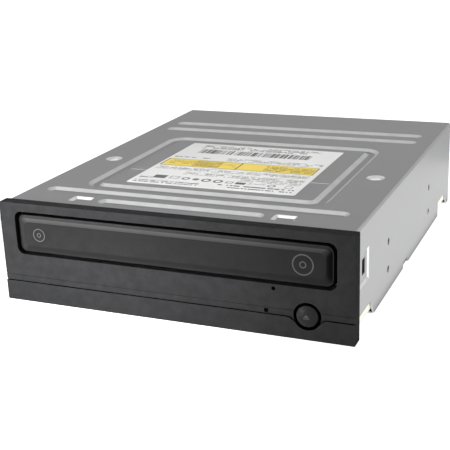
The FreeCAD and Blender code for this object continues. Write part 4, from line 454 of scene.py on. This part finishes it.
def cover_highlights(tree, place, tone, slope_highlight):
    """Painted highlights on the cover: on its slopes, brighter on its dimples, and along a fine crease."""
    highlit_slopes = tree.group("painted slope highlights", {"Place": place})["Mask"]
    # Painted highlight on the slopes.
    tone = tree.mix(tree.product(highlit_slopes, slope_highlight), tone, HIGHLIGHT_STEEL)
    flat = tree.in_mm(place)
    upper = tree.over(tree.split(place)["Z"], FOLD_HIGH * MM)
    # Painted highlights on the dimples' slopes and on their bright cores.
    for across, along in DIMPLES:
        for radius, where, strength in (
                (DIMPLE_SLOPE, highlit_slopes, DIMPLE_SLOPE_HIGHLIGHT), (DIMPLE_CORE, upper, DIMPLE_CORE_HIGHLIGHT)):
            spot = tree.ring(flat, across, along, radius)
            tone = tree.mix(tree.product(spot, where, strength), tone, WHITE)
    # Painted highlight line along the crease.
    half, thin = CREASE_HALF
    crease = tree.block(flat, -half, half, CREASE_AT - thin, CREASE_AT + thin)
    return tree.mix(tree.product(crease, upper, CREASE_HIGHLIGHT), tone, HIGHLIGHT_STEEL)


def steel(name, colour, rough, grain_size=900.0, glance=1.0, slope_highlight=0.0):
    """Plated or turned steel with rolling lines and faint marks.

    Glance dims it where it is seen at a slant; where asked, highlights are painted on the slopes pressed into
    it, on its dimples and along a crease.
    """
    material, tree, shader, place = start_material(name)
    shader.inputs["Specular Tint"].default_value = grey(glance)
    sheet = tree.group("rolled sheet", {"Place": place, "Grain": grain_size})
    tone = tree.mix(sheet["Tone"], shade(colour, 0.92), shade(colour, 1.07))
    tone = tree.mix(tree.product(sheet["Marks"], 0.25), tone, shade(colour, 1.25))
    if slope_highlight:
        tone = cover_highlights(tree, place, tone, slope_highlight)
    tree.put(shader.inputs["Base Color"], tone)
    shader.inputs["Metallic"].default_value = 1.0
    tree.put(shader.inputs["Roughness"], tree.blend(sheet["Tone"], rough - 0.04, rough + 0.05))
    lay_bump(tree, shader, sheet["Height"], 0.12, SHEET_RELIEF, SHEET_EDGE)
    return material


def rubber(name):
    """Matt black rubber with a grey bloom in patches."""
    material, tree, shader, place = start_material(name)
    grain = tree.group("moulded grain", {"Place": place, "Size": 3000.0})
    bloom = tree.noise(place, 300.0, 3.0, 0.6)
    tree.put(shader.inputs["Base Color"], tree.mix(tree.ramp(bloom, 0.4, 0.8), grey(0.018), grey(0.045)))
    tree.put(shader.inputs["Roughness"], tree.blend(grain["Tone"], 0.62, 0.78))
    lay_bump(tree, shader, grain["Height"], 0.3, RUBBER_RELIEF)
    return material


def clear(name, colour, rough):
    """A clear moulding with a faint haze."""
    material, tree, shader, place = start_material(name)
    haze = tree.noise(place, 900.0, 3.0, 0.6)
    tree.put(shader.inputs["Base Color"], tree.mix(haze, shade(colour), shade(colour, 0.9)))
    tree.put(shader.inputs["Roughness"], tree.blend(haze, rough, rough + 0.06))
    shader.inputs["Transmission Weight"].default_value = 0.85
    return material


def circuit_board(name):
    """Green solder mask over a raised pattern of tracks and round pads."""
    material, tree, shader, place = start_material(name)
    tracks = tree.add("ShaderNodeTexBrick", {
        "Vector": place, "Scale": 190.0, "Mortar Size": 0.02, "Brick Width": 0.9, "Row Height": 0.16},
        offset=0.37).outputs["Fac"]
    spots = tree.add("ShaderNodeTexVoronoi", {"Vector": place, "Scale": 420.0}).outputs["Distance"]
    pad = tree.under(spots, 0.16)
    mask = tree.mix(tracks, (0.012, 0.085, 0.035, 1.0), (0.03, 0.17, 0.07, 1.0))
    tree.put(shader.inputs["Base Color"], tree.mix(pad, mask, (0.55, 0.55, 0.52, 1.0)))
    tree.put(shader.inputs["Metallic"], pad)
    tree.put(shader.inputs["Roughness"], tree.blend(pad, 0.28, 0.4))
    lay_bump(tree, shader, tree.largest(tree.product(tracks, 0.6), pad), 0.35, BOARD_RELIEF)
    return material


def gilded(name):
    """Contact pins with a thin, slightly uneven gilding."""
    material, tree, shader, place = start_material(name)
    wipe = tree.noise(place, 1200.0, 3.0, 0.6)
    tree.put(shader.inputs["Base Color"], tree.mix(wipe, (0.72, 0.55, 0.25, 1.0), (0.86, 0.70, 0.38, 1.0)))
    shader.inputs["Metallic"].default_value = 1.0
    tree.put(shader.inputs["Roughness"], tree.blend(wipe, 0.2, 0.32))
    return material


# Printed matter on the label, in mm: across, then depth behind the face of the front plate.
LABEL_INK = (
    # left, right, near, far, kind, strength
    (-28.5, 27.5, 93.6, 100.6, "bars", 0.90),
    (-30.0, 22.0, 102.0, 106.2, "words", 0.94),
    (-30.0, -4.0, 106.2, 108.4, "words", 0.75),
    (2.0, 28.0, 106.2, 108.4, "words", 0.90),
    (-36.0, -18.0, 84.0, 86.2, "words", 0.80),
    (-10.0, 35.5, 83.0, 87.4, "words", 0.76),
    (-35.5, 35.5, 64.0, 68.2, "words", 0.76),
    (-19.0, 35.5, 57.6, 61.8, "words", 0.76),
    (8.0, 35.5, 53.4, 57.6, "words", 0.60),
    (-36.0, -6.0, 42.4, 46.8, "words", 0.82),
    (-36.0, -30.0, 48.9, 51.1, "words", 0.85),
    (13.8, 21.6, 49.6, 51.8, "words", 0.65),
    (2.0, 35.5, 43.2, 47.3, "bold", 0.95),
)
LABEL_MARKS = (
    # middle across, depth, half width, half depth, kind, strength
    (-27.0, 51.8, 2.9, 2.3, "block", 0.92),
    (-20.3, 52.0, 2.3, 2.0, "frame", 0.45),
    (-14.8, 51.6, 1.9, 1.9, "ring", 0.80),
    (-10.1, 51.4, 1.5, 1.5, "disc", 0.85),
    (-5.2, 51.2, 2.2, 2.2, "ring", 0.85),
    (0.3, 51.0, 2.2, 2.2, "ring", 0.85),
    (5.6, 50.8, 1.7, 1.5, "frame", 0.60),
    (10.6, 50.6, 2.2, 1.4, "block", 0.95),
    (24.4, 50.4, 1.9, 1.9, "ring", 0.65),
    (32.0, 50.2, 1.8, 1.8, "frame", 0.40),
)
YELLOW_BAND = (-36.5, 35.5, 70.2, 81.4)
BAND_BLOCKS = (
    (-21.5, -8.6, 71.2, 80.6, "plain", 0.30),
    (-21.5, -8.6, 71.2, 80.6, "words", 0.75),
    (-34.0, -21.5, 73.0, 79.6, "words", 0.50),
    (-7.6, -1.4, 73.5, 78.5, "words", 0.40),
    (12.0, 34.5, 71.4, 79.2, "plain", 0.10),
    (12.0, 34.5, 71.4, 79.2, "words", 0.80),
)
BAND_RULES = (
    # left, right, near, far
    (-36.6, -36.1, 70.2, 81.4),
    (-0.35, 0.2, 70.2, 81.4),
    (35.1, 35.6, 70.2, 81.4),
    (-36.6, 35.6, 70.0, 70.45),
    (-36.6, 35.6, 81.15, 81.5),
)
PAPER = ((0.79, 0.79, 0.78, 1.0), (0.85, 0.85, 0.84, 1.0))
YELLOW = ((0.87, 0.66, 0.09, 1.0), (0.85, 0.68, 0.12, 1.0))
BROWN_INK = (0.22, 0.13, 0.012, 1.0)
SOFT_INK = grey(0.05)
FULL_INK = grey(0.03)
RING_HOLE = 0.52  # hole of a ring, as a share of its radius
FRAME_HOLE = (0.6, 0.55)  # opening of a frame, as shares of its half width and half depth


def label_mark(tree, flat, across, deep, wide, half, kind):
    """One plain mark on the label: a ring, a disc, a block or a frame."""
    if kind == "ring":
        return tree.ring(flat, across, deep, wide, wide * RING_HOLE)
    if kind == "disc":
        return tree.ring(flat, across, deep, wide)
    mask = tree.block(flat, across - wide, across + wide, deep - half, deep + half)
    if kind == "frame":
        wide, half = wide * FRAME_HOLE[0], half * FRAME_HOLE[1]
        hollow = tree.block(flat, across - wide, across + wide, deep - half, deep + half)
        mask = tree.maths("SUBTRACT", mask, hollow, clamp=True)
    return mask


def label_paper():
    """White matt paper with a band of yellow, rows of strokes and plain marks, none of which can be read."""
    material, tree, shader, place = start_material("label paper")
    shader.inputs["Specular IOR Level"].default_value = PAPER_SHINE
    flat = tree.add("ShaderNodeVectorMath", {0: tree.in_mm(place), 1: (0.0, -FACE, 0.0)}, operation="ADD")
    flat = flat.outputs[0]
    inks = {
        "words": tree.group("printed lines", {"Place": flat, "Line": 2.1, "Letter": 0.62, "Filled": 0.86}),
        "bold": tree.group("printed lines", {"Place": flat, "Line": 4.1, "Letter": 1.5, "Filled": 0.92}),
        "bars": tree.group("printed bars", {"Place": flat, "Pitch": 0.36, "Filled": 0.56}),
    }
    fibre = tree.noise(place, 1800.0, 4.0, 0.6)
    inked = tree.mix(fibre, *PAPER)
    inked = tree.mix(tree.block(flat, *YELLOW_BAND), inked, tree.mix(tree.noise(place, 160.0), *YELLOW))
    for left, right, near, far, kind, strength in BAND_BLOCKS:
        mask = tree.block(flat, left, right, near, far)
        if kind in inks:
            mask = tree.product(mask, inks[kind]["Mask"])
        inked = tree.mix(tree.product(mask, strength), inked, BROWN_INK)
    for edges in BAND_RULES:
        inked = tree.mix(tree.block(flat, *edges), inked, FULL_INK)
    for left, right, near, far, kind, strength in LABEL_INK:
        mask = tree.block(flat, left, right, near, far)
        inked = tree.mix(tree.product(mask, inks[kind]["Mask"], strength), inked, SOFT_INK)
    for across, deep, wide, half, kind, strength in LABEL_MARKS:
        mask = label_mark(tree, flat, across, deep, wide, half, kind)
        inked = tree.mix(tree.product(mask, strength), inked, FULL_INK)
    tree.put(shader.inputs["Base Color"], inked)
    tree.put(shader.inputs["Roughness"], tree.blend(fibre, 0.42, 0.52))
    lay_bump(tree, shader, fibre, 0.15, PAPER_RELIEF)
    return material


def door_reach(tree, flat):
    """How far out a spot on the door lies, in mm: DOOR_CORNER on its rounded outline, and less inside."""
    past = []
    for place, middle, half in zip(tree.split(flat), DOOR_MIDDLE, DOOR_HALF):
        away = tree.maths("ABSOLUTE", tree.maths("SUBTRACT", place, middle - DOOR_LEAN))
        past.append(tree.maths("SUBTRACT", away, half - DOOR_CORNER))
    corner = tree.join(tree.largest(past[0], 0.0), tree.largest(past[1], 0.0))
    corner = tree.add("ShaderNodeVectorMath", {0: corner}, operation="LENGTH").outputs["Value"]
    return tree.maths("ADD", corner, tree.maths("MINIMUM", tree.largest(*past), 0.0))


def door_front():
    """The front's plastic with a painted highlight on upward slopes, painted shade on slopes that look right,
    a painted highlight line, a rim and gap walls painted black as shade, and two faint printed discs.
    """
    material, tree, shader, place = start_material("door plastic")
    shader.inputs["Specular IOR Level"].default_value = MATT
    grain = tree.group("moulded grain", {"Place": place})
    tone = tree.mix(grain["Tone"], *DOOR_TONES)
    across, _, high = tree.split(place)
    flat = tree.in_mm(tree.join(across, high))
    to_right, facing, upward = tree.facing()

    reach = door_reach(tree, flat)
    # Bands inside the door's outline: the rim is painted black as shade, and the line gets a painted
    # highlight.
    rim, line, step = (
        tree.over(reach, DOOR_CORNER - DOOR_RIM - inside) for inside in (0.0, DOOR_LINE, DOOR_STEP))
    upper, right = (tree.ramp(side, *DOOR_SLOPE) for side in (upward, to_right))
    fade = tree.ramp(reach, DOOR_CORNER - DOOR_FADE[0], DOOR_CORNER - DOOR_FADE[1])
    fade = tree.blend(fade, 0.25, 1.0)
    # Painted highlight on slopes that look up, painted shade on slopes that look right, and a painted
    # highlight line, fading out inwards.
    slope = tree.product(upper, tree.maths("MULTIPLY_ADD", step, -0.6, 0.8), fade)
    tone = tree.mix(slope, tone, DOOR_UPPER_HIGHLIGHT)
    tone = tree.mix(tree.product(right, fade), tone, DOOR_RIGHT_SHADE)
    tone = tree.mix(tree.product(line, tree.largest(upper, right), 0.6), tone, DOOR_LINE_HIGHLIGHT)

    front = tree.under(facing, -0.8)
    for ring in DOOR_RINGS:
        tone = tree.mix(tree.product(tree.ring(flat, *ring), front, PRINT_ON_FRONT), tone, DOOR_PRINT)
    rub = tree.group("rubbed edges", {"Place": place})["Mask"]
    tone = tree.mix(tree.product(rub, 0.2), tone, DOOR_RUBBED)
    # The rim and the walls of the door's gap get painted shade.
    rim = tree.largest(rim, tree.group("painted wall shade", {"Place": place})["Mask"])
    tree.put(shader.inputs["Base Color"], tree.mix(rim, tone, GAP_SHADE))
    tree.put(shader.inputs["Roughness"], tree.blend(grain["Tone"], 0.40, 0.50))
    lay_bump(tree, shader, grain["Height"], 0.22, PLASTIC_RELIEF, DOOR_EDGE)
    return material


def eject_mark(tree, place):
    """A small triangle over a bar, in the middle of the button."""
    across, _, high = tree.split(place)
    across = tree.maths("ABSOLUTE", tree.maths("SUBTRACT", across, BUTTON_MIDDLE[0] * MM))
    high = tree.maths("SUBTRACT", high, BUTTON_MIDDLE[1] * MM)
    width = tree.maths("SUBTRACT", MARK_HALF * MM, high)
    point = tree.product(tree.under(across, width), tree.over(high, 0.0))
    low, top = MARK_BAR
    bar = tree.product(
        tree.under(across, MARK_HALF * MM), tree.under(high, top * MM), tree.over(high, low * MM))
    return tree.product(tree.largest(point, bar), PRINT_ON_BUTTON)


# One finish for each material of the record, and own ones for a few pieces.
FINISHES = {
    # The cover's steel gets painted highlights on its slopes, dimples and crease.
    "cover_steel": steel("plated sheet steel", (0.262, 0.262, 0.266), 0.38,
                         glance=0.67, slope_highlight=SLOPE_HIGHLIGHT),
    "bright_steel": steel("turned steel", (0.48, 0.48, 0.50), 0.26, grain_size=2000.0),
    "label_paper": label_paper(),
    # The front plate gets painted shade on its walls, behind its back and on faces that look right.
    "front_plastic": plastic("front plate plastic", (0.030, 0.030, 0.031), 0.46,
                             edge=(0.05, 0.05, 0.052), spread=0.012, shine=MATT, walls=True),
    "frame_plastic": plastic("cream frame plastic", (0.80, 0.79, 0.68), 0.48, spread=0.05, dust=0.05),
    "tray_plastic": plastic("tray plastic", (0.030, 0.030, 0.032), 0.50,
                            size=1700.0, strength=0.4, dust=0.05),
    "gear_plastic": plastic("white acetal", (0.80, 0.79, 0.74), 0.36, spread=0.04, size=3000.0),
    "dark_plastic": plastic("black inner plastic", (0.028, 0.028, 0.03), 0.46, edge=(0.08, 0.08, 0.08)),
    "white_plastic": plastic("natural nylon", (0.80, 0.78, 0.70), 0.4, spread=0.05),
    "belt_rubber": rubber("black rubber"),
    "board_green": circuit_board("solder mask"),
    "clear_plastic": clear("clear moulding", (0.80, 0.84, 0.88), 0.08),
    "pin_gold": gilded("gold-plated pins"),
    "magnet_grey": plastic("sintered magnet", (0.10, 0.10, 0.105), 0.5, size=1400.0, strength=0.5),
}
OWN_FINISHES = {
    "tray_door": door_front(),
    # The button gets painted shade on its walls and on faces that look right.
    "eject_button": plastic("button plastic", (0.024, 0.024, 0.025), 0.38, shine=0.06, walls=True,
                            mark=eject_mark),
    "lamp_pipe": plastic("smoked lamp window", (0.002, 0.002, 0.002), 0.3, strength=0.02, shine=0.01),
    "lamp": clear("lamp body", (0.35, 0.75, 0.35), 0.1),
}

for entry in frame["record"]["subparts"]:
    finish = OWN_FINISHES.get(entry["node"], FINISHES[entry["material_slot"]])
    for slot in frame["nodes"][entry["node"]].material_slots:
        slot.material = finish


def build_floor():
    """A wide pale floor. The camera and bright metal see it white; the drive's shadow stays on it."""
    level = solid_box[0][2]
    corners = [(-1, -1), (1, -1), (1, 1), (-1, 1)]
    mesh = bpy.data.meshes.new("floor")
    mesh.from_pydata([(x * FLOOR_SIZE, y * FLOOR_SIZE, level) for x, y in corners], [], [(0, 1, 2, 3)])
    floor = bpy.data.objects.new("floor", mesh)
    bpy.context.collection.objects.link(floor)
    material, tree, shader, _ = start_material("pale floor")
    shader.inputs["Base Color"].default_value = grey(0.93)
    shader.inputs["Roughness"].default_value = 0.9
    shader.inputs["Emission Color"].default_value = WHITE
    tree.put(shader.inputs["Emission Strength"], tree.product(tree.seen(), FLOOR_GLOW))
    mesh.materials.append(material)


def light_world():
    """Even pale light, seen white by the camera and by what reflects."""
    world = bpy.data.worlds.new("studio")
    bpy.context.scene.world = world
    world.use_nodes = True
    world.node_tree.nodes.clear()
    tree = Tree(world.node_tree)
    strength = tree.blend(tree.seen(), WORLD_LIGHT, 1.0)
    background = tree.add("ShaderNodeBackground", {"Color": WHITE, "Strength": strength})
    tree.add("ShaderNodeOutputWorld", {"Surface": background.outputs[0]})


def soft_lamp(name, place, target, width, height, power, spread):
    """A rectangular soft lamp that looks at its target."""
    lamp = bpy.data.lights.new(name, "AREA")
    lamp.shape = "RECTANGLE"
    lamp.size = width
    lamp.size_y = height
    lamp.energy = power
    lamp.spread = math.radians(spread)
    item = bpy.data.objects.new(name, lamp)
    item.location = place
    item.rotation_euler = (Vector(target) - Vector(place)).to_track_quat("-Z", "Y").to_euler()
    bpy.context.collection.objects.link(item)


def set_camera():
    """The photograph's view: turned about the upright axis, raised, and leaned a little to one side."""
    turn, rise, roll = (math.radians(angle) for angle in (CAMERA_TURN, CAMERA_RISE, CAMERA_ROLL))
    back = Vector((math.sin(turn) * math.cos(rise), -math.cos(turn) * math.cos(rise), math.sin(rise)))
    right = Vector((0, 0, 1)).cross(back).normalized()
    up = back.cross(right)
    leaned_right = right * math.cos(roll) + up * math.sin(roll)
    leaned_up = up * math.cos(roll) - right * math.sin(roll)
    camera = bpy.data.objects.new("camera", bpy.data.cameras.new("camera"))
    bpy.context.collection.objects.link(camera)
    axes = Matrix((leaned_right, leaned_up, back)).transposed().to_4x4()
    camera.matrix_world = Matrix.Translation(Vector(CAMERA_PLACE) * MM) @ axes
    camera.data.sensor_fit = "HORIZONTAL"
    camera.data.lens = CAMERA_LENS
    camera.data.clip_start = 0.01
    bpy.context.scene.camera = camera


build_floor()
light_world()
for lamp_row in LAMPS:
    soft_lamp(*lamp_row)
set_camera()
bpy.context.scene.view_settings.view_transform = "Standard"
